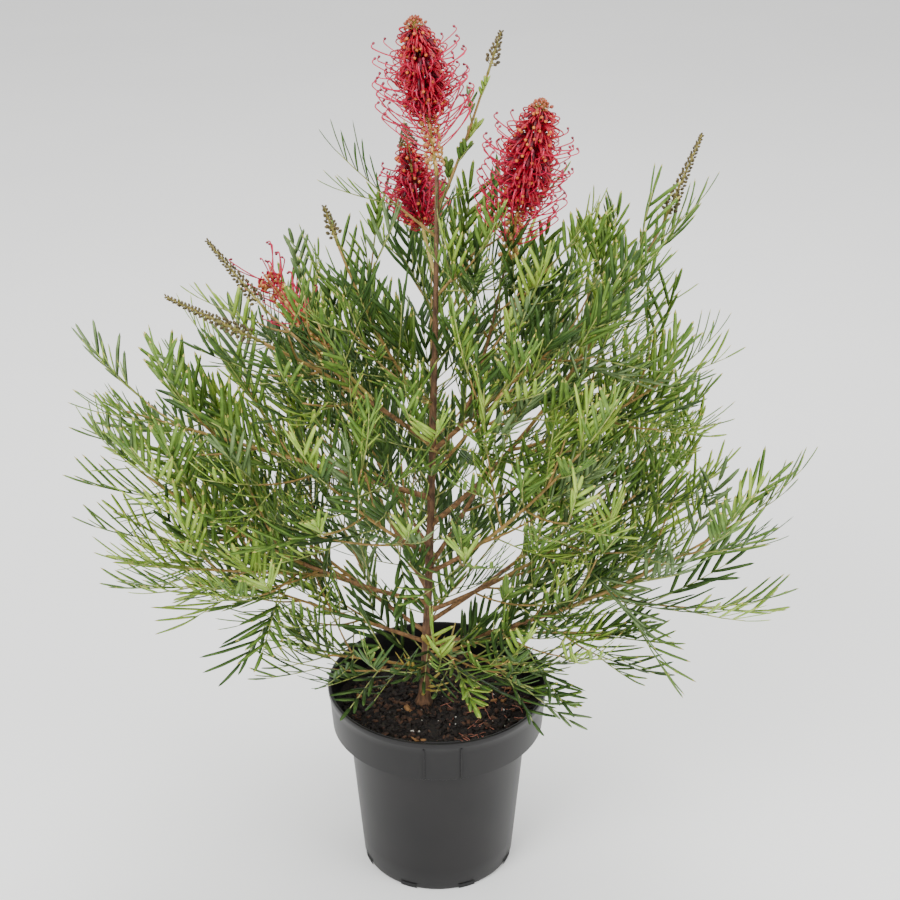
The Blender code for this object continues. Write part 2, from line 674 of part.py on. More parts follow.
class Mass:
    """A mass of leaves: the stem that its branch ends in, its twigs and their leaves."""

    def __init__(self, row, limb, rank):
        self.row = row
        self.limb = limb
        self.chance = random.Random(rank + 1)
        self.split = row.bare + (limb.start if row.bare == 0.0 else GAP / (limb.tip - limb.foot).length)
        self.rings = limb.shares(STEM_RINGS, self.split, 1.0)
        self.twigs = []
        self.shapes = []
        self.skins = []

    def pieces(self):
        """The straight pieces of its stem and twigs."""
        found = segments_of(self.limb, self.split, 1.0, 8)
        for twig in self.twigs:
            found += segments_of(twig, 0.0, 1.0, 4)
        return found

    def side_way(self, limb, t, roll, angle):
        """A direction that leaves a limb at an angle, turned round it by roll."""
        way = limb.direction(t)
        side = across(way)
        other = way.cross(side)
        return way * math.cos(angle) + (side * math.cos(roll) + other * math.sin(roll)) * math.sin(angle)

    def grow_twigs(self, others, limbs):
        """Side twigs, skipped where one would leave this mass's space or touch a limb."""
        span = (1.0 - self.split) * self.limb.length()
        for i in range(self.row.twigs):
            t = self.split + (1.0 - self.split) * (TWIG_FIRST + TWIG_SPREAD * i / max(1, self.row.twigs))
            length = min(TWIG_LONGEST, max(TWIG_SHORTEST, span * TWIG_SHARE))
            foot = self.limb.seat(t, self.rings)
            turn = self.chance.uniform(0.0, 0.6) + (0.0 if i % 2 else math.pi)
            for attempt in range(TWIG_TRIES):
                way = self.side_way(self.limb, t, turn + attempt * TWIG_TRY_TURN, TWIG_ANGLE)
                tip = foot + (way + UP * TWIG_LIFT) * length
                twig = Limb(foot, tip, TWIG_ARCH, TWIG_RADIUS, STEM_TIP_RADIUS)
                spots = np.array([twig.point(s) for s in (0.4, 0.7, 1.0)])
                own = nearest(spots, self.pieces())
                free = nearest(spots, others) - own > 2 * SPACE_MARGIN
                if free.all() and nearest(spots, limbs, True).min() > LEAF_CLEARANCE and not in_pot(spots):
                    self.twigs.append(twig)
                    break

    def try_leaf(self, limb, t, roll, angle, length, others, limbs):
        """Adds one leaf, turned or shortened until it keeps to this mass's space."""
        own_pieces = self.pieces()
        root = limb.seat(t, self.rings if limb is self.limb else limb.shares(TWIG_RINGS))
        for attempt in range(LEAF_TRIES):
            way = self.side_way(limb, t, roll + attempt * LEAF_TRY_TURN, angle)
            up = limb.direction(t) * LEAF_FACES_ALONG + UP * LEAF_FACES_UP
            shape = leaf_shape(root, way, up, length * (1 - LEAF_TRY_SHRINK * attempt))
            spots = test_points(*shape)
            free = nearest(spots, others) - nearest(spots, own_pieces) > 2 * SPACE_MARGIN
            if not free.all() or nearest(spots, limbs, True).min() < LEAF_CLEARANCE or in_pot(spots):
                continue
            skin = BVHTree.FromPolygons(*shape)
            if not any(skin.overlap(other) for other in self.skins):
                self.skins.append(skin)
                self.shapes.append(shape)
                return

    def grow_leaves(self, others, limbs):
        """Leaves in a spiral up the stem, and one at the tip of each twig and stem."""
        row = self.row
        first = self.split + (1.0 - self.split) * LEAF_FIRST
        roll = self.chance.uniform(0.0, 2 * math.pi)
        for i in range(row.leaves):
            t = first + (LEAF_LAST - first) * i / max(1, row.leaves)
            length = row.leaf * self.chance.uniform(0.85, 1.0)
            self.try_leaf(self.limb, t, roll + i * SPIRAL, LEAF_ANGLE, length, others, limbs)
        for twig in self.twigs:
            self.try_leaf(twig, END_LEAF_AT, 0.0, 0.10, row.leaf * 0.85, others, limbs)
        if row.spike == 0.0:
            self.try_leaf(self.limb, END_LEAF_AT, 1.0, 0.12, row.leaf * row.end_leaf, others, limbs)

    def spike_shape(self):
        """The bud spike at the stem's tip, rough with rows of buds."""
        way = (self.limb.direction(1.0) + UP * self.row.lean).normalized()
        foot = self.limb.point(1.0) - self.limb.direction(1.0) * STEM_TIP_RADIUS
        points = [foot, foot + way * SPIKE_STALK]
        radii = [STEM_TIP_RADIUS * 0.9, STEM_TIP_RADIUS * 1.1]
        for i in range(SPIKE_RINGS):
            share = i / (SPIKE_RINGS - 1)
            points.append(foot + way * (SPIKE_STALK + 0.002 + (self.row.spike - SPIKE_STALK) * share))
            full = SPIKE_RADIUS + (SPIKE_TIP_RADIUS - SPIKE_RADIUS) * share
            radii.append(full * (1.0 if i % 2 == 0 else 0.7))
        return tube(points, radii, SPIKE_SIDES)

    def build(self):
        """The mass as one solid."""
        radii = [self.limb.radius(t) for t in self.rings]
        sides = STEM_SIDES if self.row.bare else BOUGH_SIDES
        shapes = [tube([self.limb.point(t) for t in self.rings], radii, sides)]
        for twig in self.twigs:
            shares = twig.shares(TWIG_RINGS)
            radii = [STEM_TIP_RADIUS / 2] + [twig.radius(t) for t in shares[1:]]
            shapes.append(tube([twig.point(t) for t in shares], radii, STEM_SIDES))
        shapes += self.shapes
        if self.row.spike:
            shapes.append(self.spike_shape())
        joined(self.row.name + "_leaves", shapes, LEAF_GREEN)


class Flower:
    """A flower head on its stalk: spent florets below, the open head and its styles above."""

    def __init__(self, row, limb):
        self.row = row
        self.limb = limb
        self.grown = self.pieces(row.radius)

    def head_share(self, share):
        """The share along the limb at a share of the head, past the bare stalk."""
        start = max(self.limb.start, self.row.stalk)
        return start + (1.0 - start) * share

    def pieces(self, reach):
        """Straight pieces of its axis, as thick as its stalk and then as wide as asked."""
        bare = segments_of(self.limb, self.limb.start, self.head_share(0.0), 4)
        head = segments_of(self.limb, self.head_share(0.0), 1.0, 5)
        return bare + [(a, b, reach) for a, b, _ in head]

    def core(self):
        """The stalk and the dense body of florets as one tube."""
        shares = [self.limb.start, self.head_share(0.0)]
        radii = [self.limb.radius(shares[0]), STALK_RADIUS]
        if self.row.spent:
            shares += [self.head_share(0.06), self.head_share(self.row.spent * 0.85)]
            radii += [SPENT_RADIUS, SPENT_RADIUS * 0.8]
        for i in range(HEAD_RINGS):
            share = i / (HEAD_RINGS - 1)
            shares.append(self.head_share(self.row.spent + (1 - self.row.spent) * share))
            swell = math.sin(math.pi * (HEAD_FOOT_SWELL + HEAD_SWELL_SPAN * share))
            radii.append(self.row.radius * swell * (0.86 if i % 2 else 1.0))
        return tube([self.limb.point(t) for t in shares], radii, HEAD_SIDES)

    def styles(self, others):
        """Long styles that arch out of the head, skipped where one would touch a limb."""
        shapes = []
        for i in range(self.row.styles):
            first = self.row.spent * STYLE_FIRST
            share = first + (STYLE_LAST - first) * (i + 0.5) / self.row.styles
            t = self.head_share(share)
            way = self.limb.direction(t)
            side = across(way)
            turn = i * STYLE_SPIRAL
            out = side * math.cos(turn) + way.cross(side) * math.sin(turn)
            foot = self.limb.point(t)
            lift = STYLE_LIFT + STYLE_TOP_LIFT * share
            points = [
                foot + out * self.row.radius * STYLE_ROOT,
                foot + (out * STYLE_BEND + way * lift * STYLE_HOOK) * self.row.style,
                foot + (out * STYLE_REACH + way * (lift + STYLE_HOOK)) * self.row.style,
            ]
            spots = np.array(points)
            own = nearest(spots, self.pieces(0.0))
            if (nearest(spots[1:], others) - own[1:]).min() > 2 * SPACE_MARGIN:
                shapes.append(tube(points, [STYLE_RADIUS, STYLE_RADIUS * 0.8, 0.0], STEM_SIDES, True))
                self.grown += [(a, b, STYLE_RADIUS) for a, b in zip(points, points[1:])]
        return shapes

    def build(self, others):
        """The flower as one solid."""
        look = SPENT_TAN if self.row.name.endswith("spent") else PETAL_RED
        joined(self.row.name, [self.core()] + self.styles(others), look)


def build_plant():
    """The trunk, the boughs, the flowers and the masses of leaves."""
    trunk = Trunk()
    shares = trunk.shares(TRUNK_RINGS)
    shares = list(FOOT_SHARES) + shares[1:]
    radii = [trunk.radius(t) for t in shares]
    joined("trunk", [tube([trunk.point(t) for t in shares], radii, TRUNK_SIDES, level=True)], BARK)
    carriers = {"trunk": trunk}
    limbs = segments_of(trunk, 0.0, 1.0, 30)
    masses = []
    for rank, row in enumerate(BRANCHES):
        limb = grow_from(row, carriers[row.on], STEM_TIP_RADIUS, row.radius)
        if row.bare:
            limb.end = row.bare
            carriers[row.name] = limb
            limbs += segments_of(limb, limb.start, limb.end, 8)
            shares = limb.shares(BOUGH_RINGS)
            bough = tube([limb.point(t) for t in shares], [limb.radius(t) for t in shares], BOUGH_SIDES)
            joined(row.name + "_bough", [bough], BARK)
        if row.bare < 1.0:
            masses.append(Mass(row, limb, rank))
    flowers = [Flower(row, grow_from(row, carriers[row.on], STALK_RADIUS, STALK_RADIUS)) for row in HEADS]
    stems = {mass.row.name: mass.pieces() for mass in masses}
    for mass in masses:
        others = [piece for name, found in stems.items() if name != mass.row.name for piece in found]
        others += [piece for flower in flowers for piece in flower.pieces(0.0)]
        mass.grow_twigs(others, limbs)
        stems[mass.row.name] = mass.pieces()
    every_stem = [piece for found in stems.values() for piece in found]
    for flower in flowers:
        rest = [piece for other in flowers if other is not flower for piece in other.pieces(0.0)]
        flower.build(rest + every_stem + limbs)
    blooms = [piece for flower in flowers for piece in flower.grown]
    for mass in masses:
        others = [piece for name, found in stems.items() if name != mass.row.name for piece in found]
        mass.grow_leaves(others, limbs + blooms)
        mass.build()


def main():
    """Clears the scene and builds the potted shrub."""
    for thing in list(bpy.data.objects):
        bpy.data.objects.remove(thing)
    build_pot()
    build_soil()
    build_plant()


if __name__ == "__main__":
    main()
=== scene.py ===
"""Looks of a potted raspberry dream grevillea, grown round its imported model.

Everything is in metres with +Z up. The limbs are the rows of the part's own table; here
each grows finer twigs, leaves of many narrow lobes, bud spikes and flower heads.
"""

from __future__ import annotations

import itertools
import logging
import math
import random
from dataclasses import dataclass, field
from enum import Enum
from typing import NamedTuple

import bpy
import numpy as np
from mathutils import Euler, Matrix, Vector, noise

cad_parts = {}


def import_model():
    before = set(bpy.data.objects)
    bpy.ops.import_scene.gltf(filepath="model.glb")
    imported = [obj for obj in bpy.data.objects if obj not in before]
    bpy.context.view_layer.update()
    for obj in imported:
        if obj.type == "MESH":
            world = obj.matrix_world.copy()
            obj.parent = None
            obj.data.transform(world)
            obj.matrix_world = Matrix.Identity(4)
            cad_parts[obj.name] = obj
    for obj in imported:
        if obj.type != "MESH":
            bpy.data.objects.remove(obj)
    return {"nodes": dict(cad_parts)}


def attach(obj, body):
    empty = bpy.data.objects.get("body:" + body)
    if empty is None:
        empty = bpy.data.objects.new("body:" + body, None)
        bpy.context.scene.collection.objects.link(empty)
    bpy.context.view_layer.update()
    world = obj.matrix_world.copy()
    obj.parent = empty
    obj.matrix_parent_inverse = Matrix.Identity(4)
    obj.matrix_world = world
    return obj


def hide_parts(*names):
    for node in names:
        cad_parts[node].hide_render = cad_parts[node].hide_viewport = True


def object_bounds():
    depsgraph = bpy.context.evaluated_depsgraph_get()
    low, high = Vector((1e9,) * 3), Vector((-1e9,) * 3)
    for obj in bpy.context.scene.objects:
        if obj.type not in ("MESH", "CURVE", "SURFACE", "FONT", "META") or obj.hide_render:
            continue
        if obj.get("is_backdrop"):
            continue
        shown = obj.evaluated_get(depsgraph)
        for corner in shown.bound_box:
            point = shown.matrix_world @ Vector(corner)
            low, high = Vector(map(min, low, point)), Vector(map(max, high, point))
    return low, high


LOG = logging.getLogger("grevillea")
UP = np.array([0.0, 0.0, 1.0])
# The turn from one leaf, floret or bud to the next along a stem
GOLDEN = math.radians(137.5)
# A piece is split where it would have more triangles than this
MOST_TRIANGLES = 190_000
MM_IN_METRE = 1000.0
NO_LENGTH = 1e-9
NEARLY_UPRIGHT = 0.1
TRUNK_SEED = 5
TRUNK_LEAF_SEED = 31
MIX_SEED = 77
FIRST_BRANCH_SEED = 1
FIRST_HEAD_SEED = 100


class Branch(NamedTuple):
    """One limb of the part: its start, direction, reach and what it carries.

    Start is a height on the trunk or a share of another limb, azimuth is in degrees, reach
    is the tip's distance from the pot's axis, and bare is the share with no leaves. Tone is
    how sunny the branch is: sunny branches get more young and mid green leaves and shaded
    ones more dark green, which is painted light and shade.
    """

    name: str
    on: str
    start: float
    azimuth: float
    reach: float
    top: float
    arch: float
    radius: float
    bare: float
    leaf: float
    twigs: int
    tone: float
    spike: float = 0.0
    lean: float = 0.0
    bare_tip: float = 1.0


class Stage(Enum):
    """How far a flower head has opened."""

    LATE = "still in bud at its tip"
    OPEN = "in full flower"
    OVER = "nearly all spent"


class Head(NamedTuple):
    """One flower head, placed by its tip as a branch is."""

    name: str
    on: str
    start: float
    azimuth: float
    reach: float
    top: float
    arch: float
    stalk: float
    spent: float
    radius: float
    style: float
    florets: int
    stage: Stage = Stage.OPEN


BRANCHES = (
    Branch("bud_shoot", "trunk", 0.632, 35, 0.050, 0.737, -0.04, 0.0014, 0.0, 0.024, 0, 0.7, 0.034, 0.0),
    Branch("top_left", "trunk", 0.612, 196, 0.032, 0.642, 0.0, 0.0013, 0.0, 0.092, 0, 0.3),
    Branch("top_right", "trunk", 0.560, 350, 0.048, 0.622, 0.0, 0.0013, 0.0, 0.080, 1, 0.4),
    Branch("upper_right", "trunk", 0.419, 339, 0.139, 0.572, 0.0, 0.0022, 0.34, 0.088, 4, 0.4),
    Branch("flower_limb", "upper_right", 0.16, 341, 0.058, 0.590, -0.10, 0.0018, 1.0, 0.070, 3, 0.5),
    Branch("flower_side", "flower_limb", 0.72, 352, 0.104, 0.606, 0.0, 0.0012, 0.0, 0.062, 0, 0.6),
    Branch("right_spike", "trunk", 0.347, 9, 0.188, 0.612, -0.09, 0.0025, 0.44, 0.078, 2, 0.7, 0.080, 0.30),
    Branch("right_mid", "right_spike", 0.36, 351, 0.188, 0.498, -0.06, 0.0017, 0.0, 0.085, 4, 0.6),
    Branch("front_right", "trunk", 0.299, 312, 0.168, 0.480, -0.05, 0.0022, 0.34, 0.085, 4, 0.8),
    Branch("low_right", "trunk", 0.258, 346, 0.172, 0.399, -0.04, 0.0022, 0.36, 0.085, 4, 0.5),
    Branch("long_right", "trunk", 0.222, 346, 0.262, 0.388, -0.06, 0.0025, 0.40, 0.090, 5, 0.6),
    Branch("pot_right", "trunk", 0.206, 343, 0.150, 0.262, 0.08, 0.0017, 0.0, 0.075, 3, 0.3),
    Branch("rim_right", "trunk", 0.214, 314, 0.104, 0.232, 0.12, 0.0015, 0.0, 0.072, 2, 0.4),
    Branch("rim_front", "trunk", 0.232, 287, 0.058, 0.236, 0.12, 0.0013, 0.0, 0.058, 0, 0.7),
    Branch("left_spike", "trunk", 0.425, 200, 0.146, 0.541, 0.03, 0.0024, 0.46, 0.085, 4, 0.4, 0.090, 0.0),
    Branch(
        "second_spike", "left_spike", 0.42, 172, 0.142, 0.539, 0.0, 0.0015, 0.0, 0.080, 3, 0.4, 0.078, 0.25
    ),
    Branch("inner_spike", "trunk", 0.462, 194, 0.080, 0.612, -0.12, 0.0016, 0.0, 0.080, 2, 0.4, 0.034, 0.10),
    Branch("long_left", "trunk", 0.374, 192, 0.256, 0.482, 0.0, 0.0025, 0.40, 0.092, 5, 0.8, bare_tip=0.84),
    Branch("back_inner", "trunk", 0.324, 147, 0.110, 0.468, -0.04, 0.0018, 0.34, 0.085, 3, 0.2),
    Branch("left_mid", "trunk", 0.268, 197, 0.246, 0.432, -0.06, 0.0024, 0.47, 0.090, 4, 0.8),
    Branch("left_low", "left_mid", 0.36, 203, 0.222, 0.354, 0.0, 0.0017, 0.0, 0.088, 4, 0.8),
    Branch("low_left", "trunk", 0.226, 190, 0.150, 0.298, 0.0, 0.0020, 0.34, 0.082, 3, 0.6),
    Branch("rim_left", "trunk", 0.196, 219, 0.120, 0.262, 0.02, 0.0017, 0.0, 0.075, 2, 0.3),
    Branch("front_left", "trunk", 0.318, 236, 0.150, 0.452, -0.03, 0.0020, 0.34, 0.082, 4, 0.5),
    Branch("front_high", "trunk", 0.395, 298, 0.112, 0.520, 0.0, 0.0017, 0.30, 0.078, 2, 0.5),
    Branch("back_right", "trunk", 0.304, 52, 0.205, 0.500, -0.05, 0.0022, 0.36, 0.090, 4, 0.3),
    Branch("back_high", "trunk", 0.382, 92, 0.165, 0.535, -0.04, 0.0021, 0.34, 0.088, 4, 0.3),
    Branch("back_left", "trunk", 0.280, 124, 0.215, 0.440, -0.04, 0.0022, 0.36, 0.090, 4, 0.2),
    Branch("back_far_left", "trunk", 0.236, 160, 0.210, 0.370, -0.03, 0.0021, 0.36, 0.088, 4, 0.4),
    Branch("back_low", "trunk", 0.212, 92, 0.185, 0.318, -0.03, 0.0021, 0.36, 0.085, 4, 0.2),
    Branch("back_far_right", "trunk", 0.246, 28, 0.225, 0.376, -0.04, 0.0022, 0.36, 0.090, 4, 0.4),
)

HEADS = (
    Head("flower_top", "trunk", 1.0, 180, 0.015, 0.780, 0.0, 0.06, 0.36, 0.0185, 0.038, 200),
    Head("flower_back", "trunk", 0.578, 114, 0.057, 0.674, -0.10, 0.44, 0.06, 0.0150, 0.030, 120, Stage.LATE),
    Head("flower_right", "flower_limb", 1.0, 340, 0.0855, 0.724, 0.0, 0.08, 0.34, 0.0190, 0.038, 200),
    Head(
        "flower_spent", "left_spike", 0.28, 160, 0.155, 0.560, -0.04, 0.5, 0.3, 0.0055, 0.032, 44, Stage.OVER
    ),
)


def linear(code: str) -> tuple[float, float, float, float]:
    """Turns an sRGB hex colour to linear red, green, blue and alpha.

    Args:
        code: Six hex digits with a leading hash sign.

    Returns:
        The linear colour.
    """
    parts = [int(code[i : i + 2], 16) / 255 for i in (1, 3, 5)]
    red, green, blue = (p / 12.92 if p <= 0.04045 else ((p + 0.055) / 1.055) ** 2.4 for p in parts)
    return red, green, blue, 1.0


def add_node(tree: bpy.types.NodeTree, kind: str, settings: dict, links: dict) -> bpy.types.Node:
    """Adds one node with its settings and links.

    Args:
        tree: The node tree.
        kind: The node's type name.
        settings: Attribute names, or input names, with their values.
        links: Input names with the output socket that feeds each.

    Returns:
        The new node.
    """
    node = tree.nodes.new(kind)
    for name, value in settings.items():
        if hasattr(node, name):
            setattr(node, name, value)
        else:
            node.inputs[name].default_value = value
    for name, socket in links.items():
        tree.links.new(socket, node.inputs[name])
    return node


@dataclass(frozen=True)
class Finish:
    """One finish: two colours mottled at a real size, with gloss and a fine relief.

    Low and high are the noise values where the dark and the light colour are reached.
    """

    name: str
    light: str
    dark: str
    mottle_mm: float
    roughness: float
    relief: float = 0.0
    relief_mm: float = 1.0
    specular: float = 0.5
    sheen: float = 0.0
    low: float = 0.38
    high: float = 0.62
    stretch: tuple[float, float, float] = (1.0, 1.0, 1.0)
    mottle_detail: float = 3.0
    relief_detail: float = 4.0
    relief_height: float = 0.0005

    def material(self) -> bpy.types.Material:
        """Builds the finish as a Blender material, once.

        Returns:
            The material of this finish's name.
        """
        found = bpy.data.materials.get(self.name)
        if found:
            return found
        material = bpy.data.materials.new(self.name)
        material.use_nodes = True
        tree = material.node_tree
        shader = tree.nodes["Principled BSDF"]
        place = add_node(tree, "ShaderNodeTexCoord", {}, {})
        scaled = add_node(
            tree, "ShaderNodeMapping", {"Scale": self.stretch}, {"Vector": place.outputs["Object"]}
        )
        mottle = add_node(
            tree,
            "ShaderNodeTexNoise",
            {"Scale": MM_IN_METRE / self.mottle_mm, "Detail": self.mottle_detail},
            {"Vector": scaled.outputs["Vector"]},
        )
        ramp = add_node(tree, "ShaderNodeValToRGB", {}, {"Fac": mottle.outputs["Fac"]})
        ramp.color_ramp.elements[0].position = self.low
        ramp.color_ramp.elements[0].color = linear(self.dark)
        ramp.color_ramp.elements[1].position = self.high
        ramp.color_ramp.elements[1].color = linear(self.light)
        tree.links.new(ramp.outputs["Color"], shader.inputs["Base Color"])
        shader.inputs["Roughness"].default_value = self.roughness
        shader.inputs["Specular IOR Level"].default_value = self.specular
        shader.inputs["Sheen Weight"].default_value = self.sheen
        if self.relief:
            grain = add_node(
                tree,
                "ShaderNodeTexNoise",
                {"Scale": MM_IN_METRE / self.relief_mm, "Detail": self.relief_detail},
                {"Vector": scaled.outputs["Vector"]},
            )
            bump = add_node(
                tree,
                "ShaderNodeBump",
                {"Strength": self.relief, "Distance": self.relief_height},
                {"Height": grain.outputs["Fac"]},
            )
            tree.links.new(bump.outputs["Normal"], shader.inputs["Normal"])
        return material


# Living leaf: a thin waxy skin over green tissue, so it is satin, with paler and darker parts
LEAF_MID = Finish("leaf_mid_green", "#76963d", "#4e7027", 14.0, 0.50, specular=0.3)
# Young green: new growth, and also the painted light of sunny branches, which get it more often
LEAF_YOUNG = Finish("leaf_young_green", "#a9c352", "#7fa336", 14.0, 0.50, specular=0.3)
# Dark green: older leaves, and also the painted shade of shaded branches and the crown's inside, which get it
# more often
LEAF_DARK = Finish("leaf_dark_green", "#4c692d", "#314e1e", 14.0, 0.52, specular=0.3)
LEAF_GREY = Finish("leaf_grey_green", "#7f9663", "#587040", 14.0, 0.60, specular=0.25)
LEAF_OLD = Finish("leaf_old_yellow", "#c8b04e", "#9c8a3c", 10.0, 0.55)
LEAF_TIP = Finish("leaf_lobe_tip", "#c9b85a", "#9aa045", 6.0, 0.5)
# Bark: dry cork with fine cracks along the stem, so it is matt and streaked lengthways
BARK_TRUNK = Finish("bark_trunk", "#7e5c42", "#4c3627", 3.0, 0.85, 0.6, 1.2, stretch=(1.0, 1.0, 0.3))
BARK_BOUGH = Finish("bark_bough", "#936c45", "#664a2e", 4.0, 0.75, 0.4, 1.0)
STEM_YOUNG = Finish("stem_young_wood", "#a88349", "#7d6a36", 6.0, 0.60, 0.2, 1.0)
RACHIS = Finish("leaf_midrib", "#a8ad5e", "#7e8c46", 8.0, 0.5)
# Flower: waxy petal tissue, so crimson with a soft gloss, and smoother raspberry-pink styles
PETAL = Finish("petal_crimson", "#c21230", "#8c0b26", 4.0, 0.45)
PETAL_DEEP = Finish("petal_deep_red", "#7a0c26", "#4a0819", 4.0, 0.5)
STYLE = Finish("style_raspberry", "#dc1f52", "#b8153f", 6.0, 0.38)
STYLE_KNOB = Finish("style_knob", "#9c2440", "#6e1a2c", 3.0, 0.45)
SPENT = Finish("petal_spent", "#d8a860", "#b97a45", 5.0, 0.6)
FLOWER_STALK = Finish("flower_stalk", "#c3b45c", "#a48f45", 6.0, 0.55)
PETAL_GOLD = Finish("petal_orange_rim", "#e08a3c", "#c4552c", 3.0, 0.5)
BUD = Finish("bud_brown", "#6a5c34", "#423a22", 2.5, 0.6)
BUD_TOP = Finish("bud_red_brown", "#b0603a", "#8a3a2c", 2.5, 0.55)
SPIKE_AXIS = Finish("bud_spike_axis", "#b0a355", "#858040", 5.0, 0.6)
# Polypropylene, moulded: charcoal pigment and a satin skin. The mould grain is finer than
# a tenth of a millimetre and is drawn at 0.8 mm, as coarse as it needs to show
POT_PLASTIC = Finish("polypropylene_moulded", "#181617", "#131213", 60.0, 0.42, 0.05, 0.8, specular=0.35)
# Plastic in shade: a near-black copy laid over the drain notches as their painted shade, with no hole cut
POT_PAINTED_SHADE = Finish("polypropylene_in_shade", "#0c0d0e", "#08090a", 20.0, 0.7)
# Potting mix: composted bark and peat, loose and moist, so it is dark and quite matt
COMPOST = Finish("composted_bark_mix", "#211914", "#0c0908", 3.0, 0.95, 0.9, 2.0)
CHIP_DARK = Finish("bark_chip_dark", "#2a1f19", "#120d0b", 4.0, 0.9, 0.4, 1.0)
CHIP_BROWN = Finish("bark_chip_brown", "#553826", "#33221a", 4.0, 0.85, 0.4, 1.0)
CHIP_TAN = Finish("bark_chip_tan", "#a07446", "#75512f", 5.0, 0.8, 0.4, 1.0)
PERLITE = Finish("perlite", "#d8d4cc", "#b9b4aa", 2.0, 0.8)
FALLEN = Finish("fallen_style", "#b0705c", "#85503f", 4.0, 0.6)
# Studio floor: matt pale paper
FLOOR = Finish("studio_floor", "#fbfbfa", "#f9f9f8", 400.0, 0.9)


class Kind(Enum):
    """The kinds of leaf colour that are dealt out by spray. Dark and young stand partly for painted shade and
    painted light, by how sunny a branch is.
    """

    MID = "mid"
    YOUNG = "young"
    DARK = "dark"
    GREY = "grey"
    OLD = "old"


LEAF_FINISHES = {
    Kind.MID: LEAF_MID,
    Kind.YOUNG: LEAF_YOUNG,
    Kind.DARK: LEAF_DARK,
    Kind.GREY: LEAF_GREY,
    Kind.OLD: LEAF_OLD,
}


def unit(way: np.ndarray) -> np.ndarray:
    """The vector at unit length."""
    return way / max(float(np.linalg.norm(way)), NO_LENGTH)


def across(way: np.ndarray) -> np.ndarray:
    """Any direction square to the given one."""
    side = np.cross(way, UP)
    if np.linalg.norm(side) < NEARLY_UPRIGHT:
        side = np.cross(way, np.array([1.0, 0.0, 0.0]))
    return unit(side)


def polar(azimuth: float, reach: float, height: float) -> np.ndarray:
    """A point from its azimuth in degrees, its distance from the axis and its height."""
    angle = math.radians(azimuth)
    return np.array([reach * math.cos(angle), reach * math.sin(angle), height])


def around(way: np.ndarray, turn: float) -> np.ndarray:
    """The direction square to a way, turned round it by an angle in radians."""
    side = across(way)
    return side * math.cos(turn) + np.cross(way, side) * math.sin(turn)


def band(low: int, sides: int) -> np.ndarray:
    """The triangles between one ring of corners and the next.

    Args:
        low: The number of the first ring's first corner.
        sides: How many corners a ring has.

    Returns:
        Three corner numbers a row.
    """
    here = np.arange(sides)
    after = (here + 1) % sides
    return low + np.vstack(
        [
            np.stack([here, after, sides + after], 1),
            np.stack([here, sides + after, sides + here], 1),
        ]
    )


def fan(low: int, sides: int, centre: int) -> np.ndarray:
    """The triangles between a ring of corners and the corner at its centre.

    Args:
        low: The number of the ring's first corner.
        sides: How many corners the ring has.
        centre: The number of the corner at its centre.

    Returns:
        Three corner numbers a row.
    """
    here = np.arange(sides)
    after = (here + 1) % sides
    return np.stack([low + here, low + after, np.full(sides, centre)], 1)


def bar(rings: int) -> np.ndarray:
    """The triangles of a closed bar made of rings with four corners each."""
    last = 4 * (rings - 1)
    ends = np.array([(0, 2, 1), (0, 3, 2), (last, last + 1, last + 2), (last, last + 2, last + 3)])
    return np.vstack([ends] + [band(4 * ring, 4) for ring in range(rings - 1)])


@dataclass
class Limb:
    """A tapering limb along one curve, as in the part's source."""

    foot: np.ndarray
    tip: np.ndarray
    arch: float
    foot_radius: float
    tip_radius: float
    step: float = 0.01
    chords: int = 8

    def point(self, t: float) -> np.ndarray:
        """The point a share t of the way along the curve."""
        length = float(np.linalg.norm(self.tip - self.foot))
        bend = (self.foot + self.tip) / 2 + UP * (2 * self.arch * length)
        return self.foot * (1 - t) ** 2 + bend * (2 * t * (1 - t)) + self.tip * t**2

    def radius(self, t: float) -> float:
        """The limb's radius at t."""
        return self.foot_radius * (1 - t) + self.tip_radius * t

    def direction(self, t: float) -> np.ndarray:
        """The way the limb runs at t."""
        return unit(self.point(min(t + self.step, 1.0)) - self.point(max(t - self.step, 0.0)))

    def span(self, start: float, end: float) -> float:
        """The rough length of the curve between two shares."""
        line = [self.point(start + (end - start) * i / self.chords) for i in range(self.chords + 1)]
        return sum(float(np.linalg.norm(b - a)) for a, b in zip(line, line[1:]))


@dataclass
class Trunk(Limb):
    """The upright trunk, which leans at its foot and flares at the soil."""

    foot: np.ndarray = field(default_factory=lambda: np.array([-0.0126, 0.0024, 0.1603]))
    tip: np.ndarray = field(default_factory=lambda: np.array([0.0010, 0.0, 0.664]))
    arch: float = 0.0
    foot_radius: float = 0.0043
    tip_radius: float = 0.0016
    flare: float = 0.0034
    flare_height: float = 0.010
    lean_power: float = 1.5

    def point(self, t: float) -> np.ndarray:
        """The point a share t of the way up."""
        lean = (1 - t) ** self.lean_power
        spot = self.tip + (self.foot - self.tip) * lean
        spot[2] = self.foot[2] + (self.tip[2] - self.foot[2]) * t
        return spot

    def radius(self, t: float) -> float:
        """The trunk's radius at t, with its flare."""
        height = (self.tip[2] - self.foot[2]) * t
        return super().radius(t) + self.flare * math.exp(-height / self.flare_height)

    def share_at(self, height: float) -> float:
        """The share along the trunk at a height."""
        return (height - self.foot[2]) / (self.tip[2] - self.foot[2])


